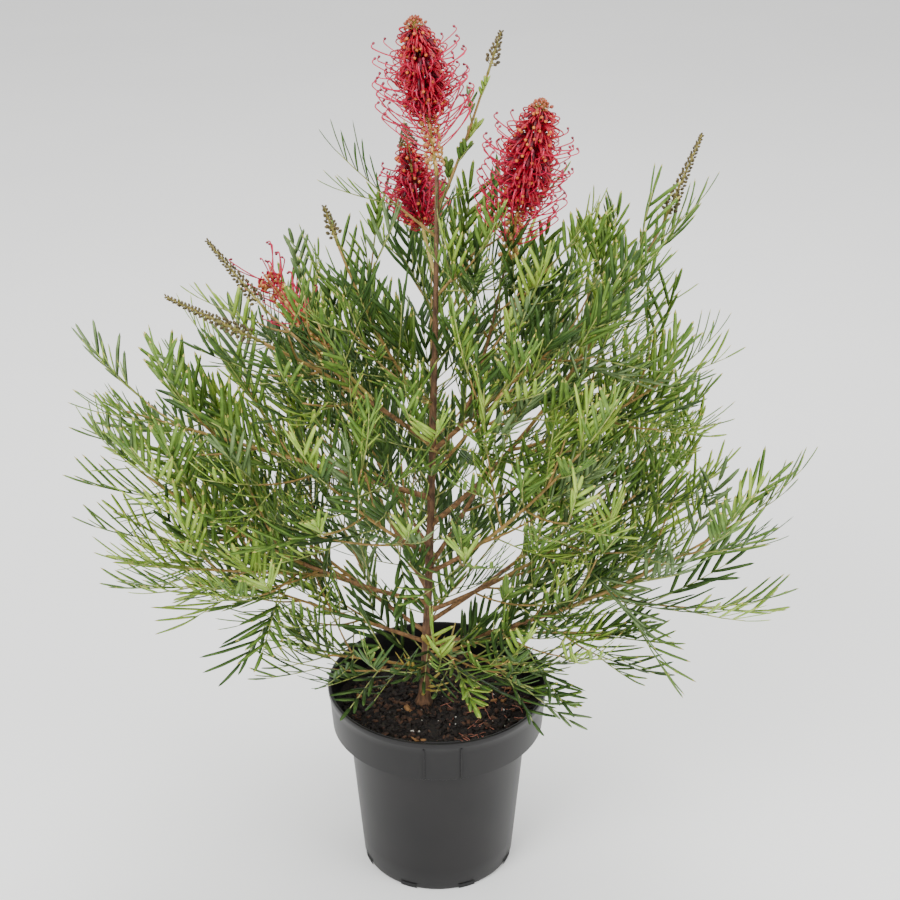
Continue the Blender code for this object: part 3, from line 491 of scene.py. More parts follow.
@dataclass
class Mesher:
    """Gathers triangles of one kind and writes them as pieces that ride on the part."""

    name: str
    finishes: list[Finish]
    slot: str
    smooth: bool = True
    points: list[np.ndarray] = field(default_factory=list)
    faces: list[np.ndarray] = field(default_factory=list)
    looks: list[np.ndarray] = field(default_factory=list)
    count: int = 0

    def add(self, points: np.ndarray, faces: np.ndarray, look: int | np.ndarray = 0) -> None:
        """Adds a block of triangles.

        Args:
            points: Corners, one row each.
            faces: Three corner numbers a row.
            look: The finish number of the block, or of each triangle.
        """
        self.points.append(points)
        self.faces.append(faces + self.count)
        self.looks.append(np.broadcast_to(np.asarray(look), (len(faces),)))
        self.count += len(points)

    def tube(self, line: list[np.ndarray], radii: list[float], sides: int, look: int = 0) -> None:
        """Adds a closed tube through points, with a flat end at each side.

        Args:
            line: The points of its axis.
            radii: Its radius at each point.
            sides: The number of its sides.
            look: The finish number.
        """
        line_array = np.array(line)
        ways = np.gradient(line_array, axis=0)
        side = across(ways[0])
        angles = np.arange(sides) * 2 * math.pi / sides
        rings = []
        for centre, way, radius in zip(line_array, ways, radii):
            way = unit(way)
            side = unit(side - way * np.dot(side, way))
            other = np.cross(way, side)
            turned = np.outer(np.cos(angles), side) + np.outer(np.sin(angles), other)
            rings.append(centre + radius * turned)
        ends = np.array([line_array[0], line_array[-1]])
        points = np.vstack(rings + [ends])
        last = (len(line) - 1) * sides
        faces = [band(ring * sides, sides) for ring in range(len(line) - 1)]
        faces.append(fan(0, sides, len(points) - 2)[:, [1, 0, 2]])
        faces.append(fan(last, sides, len(points) - 1))
        self.add(points, np.vstack(faces), look)

    def write(self, replaced: list[str]) -> list[bpy.types.Object]:
        """Writes the gathered triangles as one or more pieces.

        Args:
            replaced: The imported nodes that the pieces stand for.

        Returns:
            The pieces.
        """
        if not self.points:
            return []
        points = np.vstack(self.points).astype(np.float32)
        faces = np.vstack(self.faces).astype(np.int32)
        looks = np.concatenate(self.looks).astype(np.int32)
        pieces = []
        parts = math.ceil(len(faces) / MOST_TRIANGLES)
        for part in range(parts):
            low = len(faces) * part // parts
            high = len(faces) * (part + 1) // parts
            used, local = np.unique(faces[low:high], return_inverse=True)
            local = local.reshape(-1, 3)
            name = self.name if parts == 1 else f"{self.name}_{part + 1}"
            mesh = bpy.data.meshes.new(name)
            mesh.vertices.add(len(used))
            mesh.vertices.foreach_set("co", points[used].ravel())
            mesh.loops.add(local.size)
            mesh.loops.foreach_set("vertex_index", local.ravel().astype(np.int32))
            mesh.polygons.add(len(local))
            mesh.polygons.foreach_set("loop_start", np.arange(0, local.size, 3, dtype=np.int32))
            mesh.polygons.foreach_set("material_index", np.ascontiguousarray(looks[low:high]))
            mesh.update(calc_edges=True)
            if self.smooth:
                mesh.shade_smooth()
            for finish in self.finishes:
                mesh.materials.append(finish.material())
            piece = bpy.data.objects.new(name, mesh)
            bpy.context.scene.collection.objects.link(piece)
            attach(piece, "root")
            if replaced:
                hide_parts(*replaced)
            pieces.append(piece)
            LOG.info("%s: %d triangles", name, len(local))
        return pieces


# The three edges of a lobe's cross-section
LOBE_EDGES = ((0, 1), (1, 2), (2, 0))


# The twelve triangles of a block whose corners are counted by -x, -y, -z first
BLOCK_FACES = (
    (0, 1, 3),
    (0, 3, 2),
    (4, 6, 7),
    (4, 7, 5),
    (0, 4, 5),
    (0, 5, 1),
    (2, 3, 7),
    (2, 7, 6),
    (0, 2, 6),
    (0, 6, 4),
    (1, 5, 7),
    (1, 7, 3),
)


class Lobe(NamedTuple):
    """One narrow lobe of a leaf, by its root, its way, its upper side and its length."""

    root: np.ndarray
    axis: np.ndarray
    up: np.ndarray
    length: float


@dataclass
class LeafKind:
    """The pinnate leaf: a thin midrib and pairs of narrow pointed lobes.

    Widths, depths and radii are in metres, and the rest are shares of the leaf's or the
    lobe's length.
    """

    lobe_width: float = 0.00175
    lobe_depth: float = 0.0007
    lobe_curl: float = 0.10
    lobe_sway: float = 0.09
    spacing: float = 0.0130
    fewest_pairs: int = 3
    forward: float = math.radians(35.0)
    fold: float = math.radians(42.0)
    arch: float = 0.10
    sway: float = 0.08
    lobed_share: float = 0.66
    first_pair: float = 0.20
    pairs_run: float = 0.62
    pair_offset: float = 0.3
    stagger: float = 0.012
    longest_lobe: float = 0.60
    shortening: float = 0.36
    first_pair_size: float = 0.75
    end_lobe_at: float = 0.86
    end_lobe: float = 0.30
    rib_shares: tuple[float, ...] = (0.0, 0.3, 0.6, 0.88)
    rib_radii: tuple[float, ...] = (0.0007, 0.00062, 0.0005, 0.0004)
    tested_shares: tuple[float, ...] = (0.4, 0.7, 1.0)
    stations: tuple[float, ...] = (0.0, 0.20, 0.60, 0.90, 1.0)
    widths: tuple[float, ...] = (0.55, 0.95, 1.0, 0.70, 0.0)

    def lobe_block(self) -> tuple[np.ndarray, np.ndarray, np.ndarray]:
        """One lobe at unit size: corners, triangles and which of them are its tip.

        Returns:
            The corners as shares of length, width and depth, the faces and a mask.
        """
        rows = []
        for x, w in zip(self.stations[:-1], self.widths[:-1]):
            rows += [(x, w, 0.5 * w), (x, -w, 0.5 * w), (x, 0.0, -0.5)]
        rows.append((1.0, 0.0, 0.0))
        faces = [(0, 1, 2)]
        tip = [0]
        for i in range(len(self.stations) - 2):
            low = 3 * i
            for a, b in LOBE_EDGES:
                faces.append((low + a, low + 3 + b, low + b))
                faces.append((low + a, low + 3 + a, low + 3 + b))
                tip += [0, 0]
        low = 3 * (len(self.stations) - 2)
        for a, b in LOBE_EDGES:
            faces.append((low + a, len(rows) - 1, low + b))
            tip.append(1)
        return np.array(rows), np.array(faces), np.array(tip)


@dataclass
class Foliage:
    """All the leaves, gathered by colour, and the thin wood that carries them."""

    leaf: LeafKind = field(default_factory=LeafKind)
    wood: Mesher = field(default_factory=lambda: Mesher("young_stems", [STEM_YOUNG], "bark"))
    ribs: Mesher = field(default_factory=lambda: Mesher("leaf_midribs", [RACHIS], "foliage"))
    lobes: dict[Kind, list[Lobe]] = field(default_factory=lambda: {kind: [] for kind in Kind})
    leaves: int = 0
    scatter: float = 0.35
    tone_weight: float = 0.7
    end_weight: float = 0.3
    grey_share: float = 0.11
    young_from: float = 0.78
    mid_from: float = 0.36

    def kind_for(self, chance: random.Random, tone: float, end: float) -> Kind:
        """Deals out a leaf's colour, darker on shaded branches and lighter on sunny ones as painted shade and
        light.

        Args:
            chance: The branch's random source.
            tone: How sunny the branch is, from 0 to 1.
            end: How near the leaf is to the stem's tip, from 0 to 1.

        Returns:
            The kind of colour.
        """
        score = chance.uniform(-self.scatter, self.scatter)
        # Sunny branches score high and get young and mid greens, shaded ones dark green: painted light and
        # shade. Nearness to the tip adds the real young growth
        score = score + tone * self.tone_weight + end * self.end_weight
        if chance.random() < self.grey_share:
            return Kind.GREY
        if score > self.young_from:
            return Kind.YOUNG
        if score > self.mid_from:
            return Kind.MID
        return Kind.DARK

    def grow_leaf(
        self,
        root: np.ndarray,
        along: np.ndarray,
        up: np.ndarray,
        length: float,
        kind: Kind,
        chance: random.Random,
    ) -> bool:
        """Grows one leaf if it stays clear of the pot and inside the crown.

        Args:
            root: Where its stalk leaves the stem.
            along: The way it points.
            up: The side its lobes fold to.
            length: Its length.
            kind: Its colour.
            chance: The branch's random source.

        Returns:
            Whether it was grown.
        """
        leaf = self.leaf
        along = unit(along)
        side = unit(np.cross(along, up))
        up = np.cross(side, along)
        arch = leaf.arch * chance.uniform(0.4, 1.5)
        sway = chance.uniform(-leaf.sway, leaf.sway)

        def rib(s: float) -> np.ndarray:
            """The point a share s of the way along the midrib."""
            return root + along * (s * length) + (up * arch + side * sway) * (length * s * s)

        pairs = max(leaf.fewest_pairs, round(length * leaf.lobed_share / leaf.spacing))
        if CROWN.leaves(rib(1.0)) or POT_SPACE.hits([rib(s) for s in leaf.tested_shares]):
            return False
        lobes = []
        for k in range(pairs):
            s = leaf.first_pair + leaf.pairs_run * (k + leaf.pair_offset) / pairs
            rank = k / pairs
            reach = length * leaf.longest_lobe * (1 - leaf.shortening * rank)
            reach *= leaf.first_pair_size if k == 0 else 1.0
            for way in (-1.0, 1.0):
                forward = leaf.forward * chance.uniform(0.8, 1.25)
                fold = leaf.fold * chance.uniform(0.7, 1.3)
                spread = side * way * math.cos(fold) + up * math.sin(fold)
                point = rib(s + way * leaf.stagger)
                axis = unit(along * math.cos(forward) + spread * math.sin(forward))
                lobes.append(Lobe(point, axis, up, reach * chance.uniform(0.82, 1.12)))
        end = rib(leaf.end_lobe_at)
        lobes.append(Lobe(end, unit(rib(1.0) - end), up, length * leaf.end_lobe))
        tips = [lobe.root + lobe.axis * lobe.length for lobe in lobes]
        if POT_SPACE.hits(tips) or any(gap.hits(tips) for gap in OPENINGS):
            return False
        self.lobes[kind] += lobes
        self.ribs.tube([rib(s) for s in leaf.rib_shares], list(leaf.rib_radii), 4)
        self.leaves += 1
        return True

    def write(self, replaced: list[str]) -> None:
        """Writes the stems, midribs and lobes as pieces.

        Args:
            replaced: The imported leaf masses.
        """
        leaf = self.leaf
        block, faces, tip = leaf.lobe_block()
        along, wide, deep = (block[None, :, [column]] for column in range(3))
        for kind, lobes in self.lobes.items():
            roots, axes, ups = (np.array([lobe[column] for lobe in lobes]) for column in range(3))
            lengths = np.array([lobe.length for lobe in lobes])[:, None, None]
            chance = np.random.default_rng(len(lobes))
            sways = chance.uniform(-leaf.lobe_sway, leaf.lobe_sway, len(lobes))[:, None, None]
            sides = np.cross(axes, ups)
            sides /= np.linalg.norm(sides, axis=1, keepdims=True)
            ups = np.cross(sides, axes)[:, None, :]
            sides = sides[:, None, :]
            corners = (
                roots[:, None, :]
                + axes[:, None, :] * (along * lengths)
                + sides * (wide * leaf.lobe_width)
                + ups * (deep * leaf.lobe_depth)
                + ups * (along**2 * lengths * leaf.lobe_curl)
                + sides * (along**2 * lengths * sways)
            )
            numbers = faces[None] + (np.arange(len(lobes)) * len(block))[:, None, None]
            mesher = Mesher(f"leaves_{kind.value}", [LEAF_FINISHES[kind], LEAF_TIP], "foliage")
            looks = np.tile(tip, len(lobes)) * (kind in (Kind.YOUNG, Kind.MID))
            mesher.add(corners.reshape(-1, 3), numbers.reshape(-1, 3), looks)
            mesher.write(replaced)
        self.ribs.write(replaced)
        self.wood.write(replaced)
        LOG.info("foliage: %d leaves", self.leaves)


@dataclass(frozen=True)
class PotSpace:
    """The room that the pot and its mix take up, which leaves keep out of."""

    rim_radius: float = 0.100
    height: float = 0.1866
    soil: float = 0.160
    wall: float = 0.008
    margin: float = 0.002

    def hits(self, points: list[np.ndarray]) -> bool:
        """Whether any of the points is in the pot's wall or in the mix."""
        inside = self.rim_radius - self.wall
        for x, y, z in points:
            reach = math.hypot(x, y)
            if z > self.height + self.margin:
                continue
            if reach < inside and z < self.soil + self.margin:
                return True
            if inside <= reach < self.rim_radius + self.margin:
                return True
        return False


@dataclass
class CrownBox:
    """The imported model's box, which the leaves stay inside."""

    low: np.ndarray = field(default_factory=lambda: np.zeros(3))
    high: np.ndarray = field(default_factory=lambda: np.ones(3))
    margin: float = 0.010

    def leaves(self, point: np.ndarray) -> bool:
        """Whether a point leaves the box."""
        below = point < self.low - self.margin
        above = point > self.high + self.margin
        return bool(below.any() or above.any())


@dataclass(frozen=True)
class Opening:
    """A gap in the crown that leaves keep out of, as a round bar from a foot along a way."""

    foot: tuple[float, float, float]
    way: tuple[float, float, float]
    length: float
    radius: float

    def hits(self, points: list[np.ndarray]) -> bool:
        """Whether any of the points lies in the gap."""
        way = unit(np.array(self.way))
        for point in points:
            reach = point - np.array(self.foot)
            along = min(max(float(np.dot(reach, way)), 0.0), self.length)
            if np.linalg.norm(reach - way * along) < self.radius:
                return True
        return False


# Gaps that show the flower heads and the top of the trunk. The bud spikes add their own
OPENINGS = [
    Opening((-0.024, 0.052, 0.662), (0.0, -1.0, 0.45), 0.16, 0.024),
    Opening((0.001, 0.0, 0.735), (0.0, 0.0, 1.0), 0.06, 0.030),
    Opening((0.085, -0.028, 0.675), (0.0, 0.0, 1.0), 0.06, 0.030),
    Opening((-0.130, 0.046, 0.545), (0.0, -1.0, 0.45), 0.10, 0.020),
]
POT_SPACE = PotSpace()
CROWN = CrownBox()


@dataclass
class BudSpikes:
    """The spikes of unopened flower buds at some stems' tips."""

    mesher: Mesher = field(
        default_factory=lambda: Mesher("bud_spikes", [SPIKE_AXIS, BUD], "foliage")
    )
    axis_radius: float = 0.0012
    axis_taper: float = 0.0001
    axis_steps: int = 5
    long_from: float = 0.05
    long_stalk: float = 0.010
    short_stalk: float = 0.006
    buds_per_metre: float = 1350.0
    bud_reach: float = 0.0062
    bud_reach_drop: float = 0.0042
    bud_size: float = 0.0018
    bud_size_drop: float = 0.0008
    bud_stalk_radius: float = 0.00045
    bud_places: tuple[float, ...] = (1.0, 0.55, -0.2, -0.8, -1.15)
    bud_radii: tuple[float, ...] = (0.25, 0.75, 0.85, 0.55, 0.1)

    def grow(self, limb: Limb, row: Branch, chance: random.Random) -> None:
        """Grows the spike at a stem's tip: an axis set with small buds.

        Args:
            limb: The stem.
            row: The branch it belongs to.
            chance: The branch's random source.
        """
        way = unit(limb.direction(1.0) + UP * row.lean)
        foot = limb.tip
        steps = range(self.axis_steps + 1)
        line = [foot + way * row.spike * i / self.axis_steps for i in steps]
        self.mesher.tube(line, [self.axis_radius - self.axis_taper * i for i in steps], 7)
        stalk = self.long_stalk if row.spike > self.long_from else self.short_stalk
        count = round((row.spike - stalk) * self.buds_per_metre)
        for i in range(count):
            share = (i + 0.5) / count
            base = foot + way * (stalk + (row.spike - stalk) * share)
            reach = self.bud_reach - self.bud_reach_drop * share
            size = self.bud_size - self.bud_size_drop * share
            tilt = unit(around(way, i * GOLDEN) + way * (0.45 + 0.9 * share))
            centre = base + tilt * reach
            self.mesher.tube([base, base + tilt * reach * 0.6], [self.bud_stalk_radius] * 2, 3)
            line = [centre - tilt * size * k for k in self.bud_places]
            radii = [size * k * chance.uniform(0.9, 1.1) for k in self.bud_radii]
            self.mesher.tube(line, radii, 5, 1)


@dataclass
class Shrub:
    """The trunk, boughs, stems, twigs, leaves and bud spikes."""

    trunk: Trunk = field(default_factory=Trunk)
    foliage: Foliage = field(default_factory=Foliage)
    boughs: Mesher = field(default_factory=lambda: Mesher("boughs", [BARK_BOUGH], "bark"))
    spikes: BudSpikes = field(default_factory=BudSpikes)
    limbs: dict[str, Limb] = field(default_factory=dict)
    limb_tip_radius: float = 0.0009
    limb_steps: int = 14
    limb_flare: float = 0.0006
    limb_flare_rate: float = 40.0
    spike_room: float = 0.013
    spike_room_from: float = 0.012
    leaf_angle: float = math.radians(48.0)
    node_spacing: float = 0.0160
    first_leaf: float = 0.10
    last_leaf: float = 0.99
    leaf_tries: int = 3
    tip_leaf: float = 0.88
    tip_leaf_bare: float = 0.30
    twig_angle: float = math.radians(42.0)
    twig_first_leaf: float = 0.18
    twig_leaf_size: float = 0.92
    twig_extra: float = 0.020
    twig_longest: float = 0.085
    twig_arch: float = -0.05
    twig_radii: tuple[float, float] = (0.0011, 0.0007)
    twig_steps: int = 6
    twigs_end: float = 0.88
    bark_rings: int = 150
    bark_sides: int = 20
    bark_knots: int = 26
    knot_spread: float = 0.006
    knot_height: float = 0.25
    trunk_leaves_from: float = 0.185
    trunk_leaves_to: float = 0.52
    old_leaves_below: float = 0.235
    foot_lobes: int = 7

    def carrier_point(self, row: Branch | Head) -> np.ndarray:
        """Where a branch or flower leaves what carries it."""
        if row.on == "trunk":
            share = 1.0 if row.start == 1.0 else self.trunk.share_at(row.start)
            return self.trunk.point(share)
        return self.limbs[row.on].point(row.start)

    def side_way(self, limb: Limb, t: float, roll: float, angle: float) -> np.ndarray:
        """A direction that leaves a limb at an angle, turned round it by roll."""
        way = limb.direction(t)
        return way * math.cos(angle) + around(way, roll) * math.sin(angle)

    def leaf_stem(
        self, limb: Limb, start: float, row: Branch, chance: random.Random, scale: float
    ) -> None:
        """Grows leaves in a spiral along one stem or twig.

        Args:
            limb: The stem.
            start: The share where leaves begin.
            row: The branch it belongs to.
            chance: The branch's random source.
            scale: The size of its leaves against the branch's.
        """
        count = max(2, round(limb.span(start, 1.0) / self.node_spacing))
        roll = chance.uniform(0.0, 2 * math.pi)
        for i in range(count):
            share = i / max(1, count - 1)
            if scale == 1.0 and share > row.bare_tip:
                break
            t = start + (self.last_leaf - start) * share
            length = row.leaf * scale * chance.uniform(0.85, 1.20) * (1 - 0.25 * share**3)
            angle = self.leaf_angle * (1.0 - 0.55 * share) * chance.uniform(0.85, 1.2)
            way = self.side_way(limb, t, roll + i * GOLDEN + chance.uniform(-0.3, 0.3), angle)
            up = limb.direction(t) * 0.6 + UP * 0.8
            kind = self.foliage.kind_for(chance, row.tone, share)
            for attempt in range(self.leaf_tries):
                size = length * (1 - 0.2 * attempt)
                if self.foliage.grow_leaf(limb.point(t), way, up, size, kind, chance):
                    break
                way = way + UP * 0.35
        if not row.spike:
            kind = self.foliage.kind_for(chance, row.tone, 1.0)
            whole = row.bare_tip == 1.0 or scale < 1.0
            length = row.leaf * scale * (self.tip_leaf if whole else self.tip_leaf_bare)
            self.foliage.grow_leaf(limb.point(0.995), limb.direction(1.0), UP, length, kind, chance)

    def grow_branch(self, row: Branch, rank: int) -> None:
        """Grows one branch: its bough, stem, twigs, leaves and bud spike.

        Args:
            row: The branch's sizes.
            rank: Its place in the table, which seeds it.
        """
        chance = random.Random(rank + FIRST_BRANCH_SEED)
        limb = self.limbs[row.name]
        steps = [i / self.limb_steps for i in range(self.limb_steps + 1)]
        if row.bare:
            shares = [row.bare * step for step in steps]
            flares = [self.limb_flare * math.exp(-t * self.limb_flare_rate) for t in shares]
            radii = [limb.radius(t) + flare for t, flare in zip(shares, flares)]
            self.boughs.tube([limb.point(t) for t in shares], radii, 10)
        if row.bare < 1.0:
            shares = [row.bare + (1 - row.bare) * step for step in steps]
            radii = [limb.radius(t) for t in shares]
            self.foliage.wood.tube([limb.point(t) for t in shares], radii, 7)
            start = row.bare + self.first_leaf * (1 - row.bare)
            self.leaf_stem(limb, start, row, chance, 1.0)
        for i in range(row.twigs + 1 if row.twigs else 0):
            self.grow_twig(limb, row, chance, i)
        if row.spike:
            self.spikes.grow(limb, row, chance)

    def grow_twig(self, limb: Limb, row: Branch, chance: random.Random, number: int) -> None:
        """Grows one side twig with its leaves, if it keeps clear of the pot.

        Args:
            limb: The stem that carries it.
            row: The branch it belongs to.
            chance: The branch's random source.
            number: Which of the branch's twigs it is.
        """
        low = row.bare * 0.45 if row.bare < 1.0 else 0.35
        t = low + (self.twigs_end - low) * (number + 0.5) / (row.twigs + 1)
        length = limb.span(t, 1.0) * chance.uniform(0.40, 0.62) + self.twig_extra
        roll = number * GOLDEN + chance.uniform(0.0, 0.8)
        way = unit(self.side_way(limb, t, roll, self.twig_angle) + UP * 0.15)
        foot = limb.point(t)
        tip = foot + way * min(length, self.twig_longest)
        twig = Limb(foot, tip, self.twig_arch, *self.twig_radii)
        if POT_SPACE.hits([tip]) or CROWN.leaves(tip):
            return
        shares = [i / self.twig_steps for i in range(self.twig_steps + 1)]
        radii = [twig.radius(s) for s in shares]
        self.foliage.wood.tube([twig.point(s) for s in shares], radii, 6)
        self.leaf_stem(twig, self.twig_first_leaf, row, chance, self.twig_leaf_size)

    def grow_trunk(self) -> None:
        """Grows the trunk's bark, with fine ridges and bumps at its old nodes."""
        mesher = Mesher("trunk_bark", [BARK_TRUNK], "bark")
        chance = random.Random(TRUNK_SEED)
        knots = [(chance.random(), chance.uniform(0.1, 0.35)) for _ in range(self.bark_knots)]
        line = []
        radii = []
        for i in range(self.bark_rings + 1):
            t = i / self.bark_rings
            bumps = (size * math.exp(-(((t - at) / self.knot_spread) ** 2)) for at, size in knots)
            swell = 1 + self.knot_height * sum(bumps) + chance.uniform(-0.015, 0.015)
            line.append(self.trunk.point(t))
            radii.append(self.trunk.radius(t) * swell)
        mesher.tube(line, radii, self.bark_sides)
        mesher.write(["trunk"])

    def place_limbs(self) -> None:
        """Places every limb, and keeps room for the bud spikes at their tips."""
        for row in BRANCHES:
            tip = polar(row.azimuth, row.reach, row.top)
            foot = self.carrier_point(row)
            limb = Limb(foot, tip, row.arch, row.radius, self.limb_tip_radius)
            self.limbs[row.name] = limb
            if row.spike:
                way = unit(limb.direction(1.0) + UP * row.lean)
                start = tuple(tip + way * self.spike_room_from)
                OPENINGS.append(Opening(start, tuple(way), row.spike, self.spike_room))

    def grow_trunk_leaves(self) -> None:
        """Grows sparse leaves round the trunk, a few of the lowest of them old and yellow, and the
        rest mostly dark green, partly for age and partly as painted shade inside the crown.
        """
        chance = random.Random(TRUNK_LEAF_SEED)
        height = self.trunk_leaves_from
        turn = 0.0
        while height < self.trunk_leaves_to:
            share = self.trunk.share_at(height)
            turn += GOLDEN
            way = self.side_way(self.trunk, share, turn, math.radians(chance.uniform(50, 70)))
            low = height < self.old_leaves_below
            if low and chance.random() < 0.6:
                kind = Kind.OLD
            else:
                # Mostly dark green: partly older leaves, partly the painted shade of the crown's inside
                kind = chance.choice((Kind.DARK, Kind.MID, Kind.DARK))
            length = chance.uniform(0.045, 0.060) if low else chance.uniform(0.070, 0.095)
            self.foliage.grow_leaf(self.trunk.point(share), way, UP, length, kind, chance)
            height += chance.uniform(0.010, 0.016)
        self.grow_foot_lobes(chance)

    def grow_foot_lobes(self, chance: random.Random) -> None:
        """Grows the few short old lobes that fringe the trunk's foot."""
        for i in range(self.foot_lobes):
            turn = math.radians(-95 + 28 * i)
            root = self.trunk.point(self.trunk.share_at(0.172 + 0.003 * (i % 3)))
            axis = unit(np.array([math.cos(turn), math.sin(turn), chance.uniform(-0.25, 0.45)]))
            lobe = Lobe(root, axis, UP, chance.uniform(0.016, 0.024))
            self.foliage.lobes[Kind.OLD].append(lobe)

    def build(self, nodes: list[str]) -> None:
        """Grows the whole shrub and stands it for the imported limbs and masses.

        Args:
            nodes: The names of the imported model's nodes.
        """
        self.place_limbs()
        self.grow_trunk()
        self.grow_trunk_leaves()
        for rank, row in enumerate(BRANCHES):
            self.grow_branch(row, rank)
        boughs = [name for name in nodes if name.endswith("_bough")]
        masses = [name for name in nodes if name.endswith("_leaves")]
        self.boughs.write(boughs)
        self.spikes.mesher.write([row.name + "_leaves" for row in BRANCHES if row.spike])
        self.foliage.write(masses)


@dataclass
class FlowerHeads:
    """The flower heads: florets with curled tubes and long styles on a stalk.

    Radii of florets and buds are shares of their size, and other radii are in metres.
    """

    shrub: Shrub
    petals: Mesher = field(
        default_factory=lambda: Mesher("florets", [PETAL, PETAL_DEEP, PETAL_GOLD], "blossom")
    )
    styles: Mesher = field(
        default_factory=lambda: Mesher("styles", [STYLE, STYLE_KNOB, PETAL], "blossom")
    )
    stalks: Mesher = field(
        default_factory=lambda: Mesher("flower_stalks", [FLOWER_STALK], "blossom")
    )
    spent: Mesher = field(default_factory=lambda: Mesher("spent_florets", [SPENT], "spent_blossom"))
    buds: Mesher = field(default_factory=lambda: Mesher("flower_buds", [BUD_TOP, BUD], "blossom"))
    stalk_radii: tuple[float, float] = (0.0016, 0.0012)
    stalk_steps: int = 20
    last_floret: float = 0.985
    floret_curl: float = math.radians(150)
    floret_size: float = 0.95
    floret_radii: tuple[float, ...] = (0.045, 0.07, 0.085, 0.09, 0.075, 0.05)
    deep_share: float = 0.45
    golden_share: float = 0.45
    rim_places: tuple[float, ...] = (-0.0014, -0.0006, 0.0006, 0.0014)
    rim_radii: tuple[float, ...] = (0.0006, 0.0014, 0.0014, 0.0006)
    style_radius: float = 0.00055
    style_end_radius: float = 0.00048
    style_steps: int = 13
    hook_from: float = 0.74
    hook_turn: float = 9.0
    hook_stride: float = 0.42
    style_stride: float = 1.15
    knob_places: tuple[float, ...] = (-0.0003, 0.0006, 0.0016, 0.0022)
    knob_radii: tuple[float, ...] = (0.0005, 0.0011, 0.0011, 0.0004)
    loop_steps: int = 8
    loop_rise: float = 0.7
    spent_from: float = 0.1
    spent_count: int = 44
    spent_size: float = 0.009
    spent_radii: tuple[float, ...] = (0.07, 0.10, 0.14, 0.15, 0.11, 0.05)
    over_size: float = 0.0105
    over_open_size: float = 0.010
    over_open_from: float = 0.72
    bud_places: tuple[float, ...] = (-1.0, -0.5, 0.4, 1.0)
    bud_radii: tuple[float, ...] = (0.3, 0.95, 0.9, 0.3)
    bud_stalk_radius: float = 0.0004

    def floret(
        self, base: np.ndarray, out: np.ndarray, way: np.ndarray, size: float, look: int, golden: bool
    ) -> None:
        """Adds one curled floret tube.

        Args:
            base: Where it leaves the head's axis.
            out: The way out from the axis.
            way: The way the head points.
            size: Its length.
            look: The finish number.
            golden: Whether its end is set with the golden rim.
        """
        line = []
        last = len(self.floret_radii) - 1
        for k in range(last + 1):
            s = k / last
            forward = math.sin(self.floret_curl * s) * 0.55
            line.append(base + (out * (0.25 + 0.75 * s) + way * (forward - 0.15 * s)) * size)
        self.petals.tube(line, [size * radius for radius in self.floret_radii], 5, look)
        if golden:
            rim = [line[-1] + out * place for place in self.rim_places]
            self.petals.tube(rim, list(self.rim_radii), 5, 2)

    def style(
        self, start: np.ndarray, out: np.ndarray, way: np.ndarray, length: float, lift: float
    ) -> None:
        """Adds one long style: it runs out and up, and hooks back at its knobbed tip.

        Args:
            start: Where it leaves the head.
            out: The way out from the head's axis.
            way: The way the head points.
            length: Its length.
            lift: How steeply it rises, in radians.
        """
        line = [start]
        steps = self.style_steps
        for k in range(steps):
            share = k / steps
            turn = lift - 0.35 + 0.70 * share + self.hook_turn * max(0.0, share - self.hook_from)
            stride = self.style_stride if share < self.hook_from else self.hook_stride
            ahead = out * math.cos(turn) + way * math.sin(turn)
            line.append(line[-1] + ahead * length * stride / steps)
        self.styles.tube(line, [self.style_radius] * steps + [self.style_end_radius], 4)
        tip = unit(line[-1] - line[-2])
        knob = [line[-1] + tip * place for place in self.knob_places]
        self.styles.tube(knob, list(self.knob_radii), 5, 1)

    def long_styles(self, row: Head, limb: Limb, head: float, chance: random.Random) -> None:
        """Adds the styles of the opened florets, from the spent part to mid-head.

        Args:
            row: The head's sizes.
            limb: Its stalk and axis.
            head: The share of the axis where the florets begin.
            chance: The head's random source.
        """
        count = row.florets // 2
        low = head - (head - row.stalk) * (0.75 if row.spent > self.spent_from else 0.0)
        for i in range(count):
            share = (i + 0.5) / count
            t = low + (head + (1.0 - head) * 0.72 - low) * share
            way = limb.direction(t)
            out = around(way, i * GOLDEN)
            lift = math.radians(46 - 30 * share) + chance.uniform(-0.2, 0.2)
            reach = row.style * chance.uniform(0.80, 1.05) / math.cos(min(lift, 0.9))
            self.style(limb.point(t) + out * 0.0015, out, way, reach, lift)

    def loop(
        self, base: np.ndarray, out: np.ndarray, way: np.ndarray, reach: float, lean: float
    ) -> None:
        """Adds one style that is still held in its tube, and so bows out in a loop.

        Args:
            base: Where its floret leaves the head's axis.
            out: The way out from the axis.
            way: The way the head points.
            reach: How far it bows out.
            lean: How far it leans to one side, as a share of its reach.
        """
        side = np.cross(out, way)
        line = []
        for k in range(self.loop_steps + 1):
            s = k / self.loop_steps
            bow = math.sin(s * math.pi)
            rise = way * (s - 0.35) + side * lean * bow
            spread = out * (0.25 + 0.75 * bow) * reach
            line.append(base + spread + rise * reach * self.loop_rise)
        self.styles.tube(line, [self.style_radius] * len(line), 4, 2)

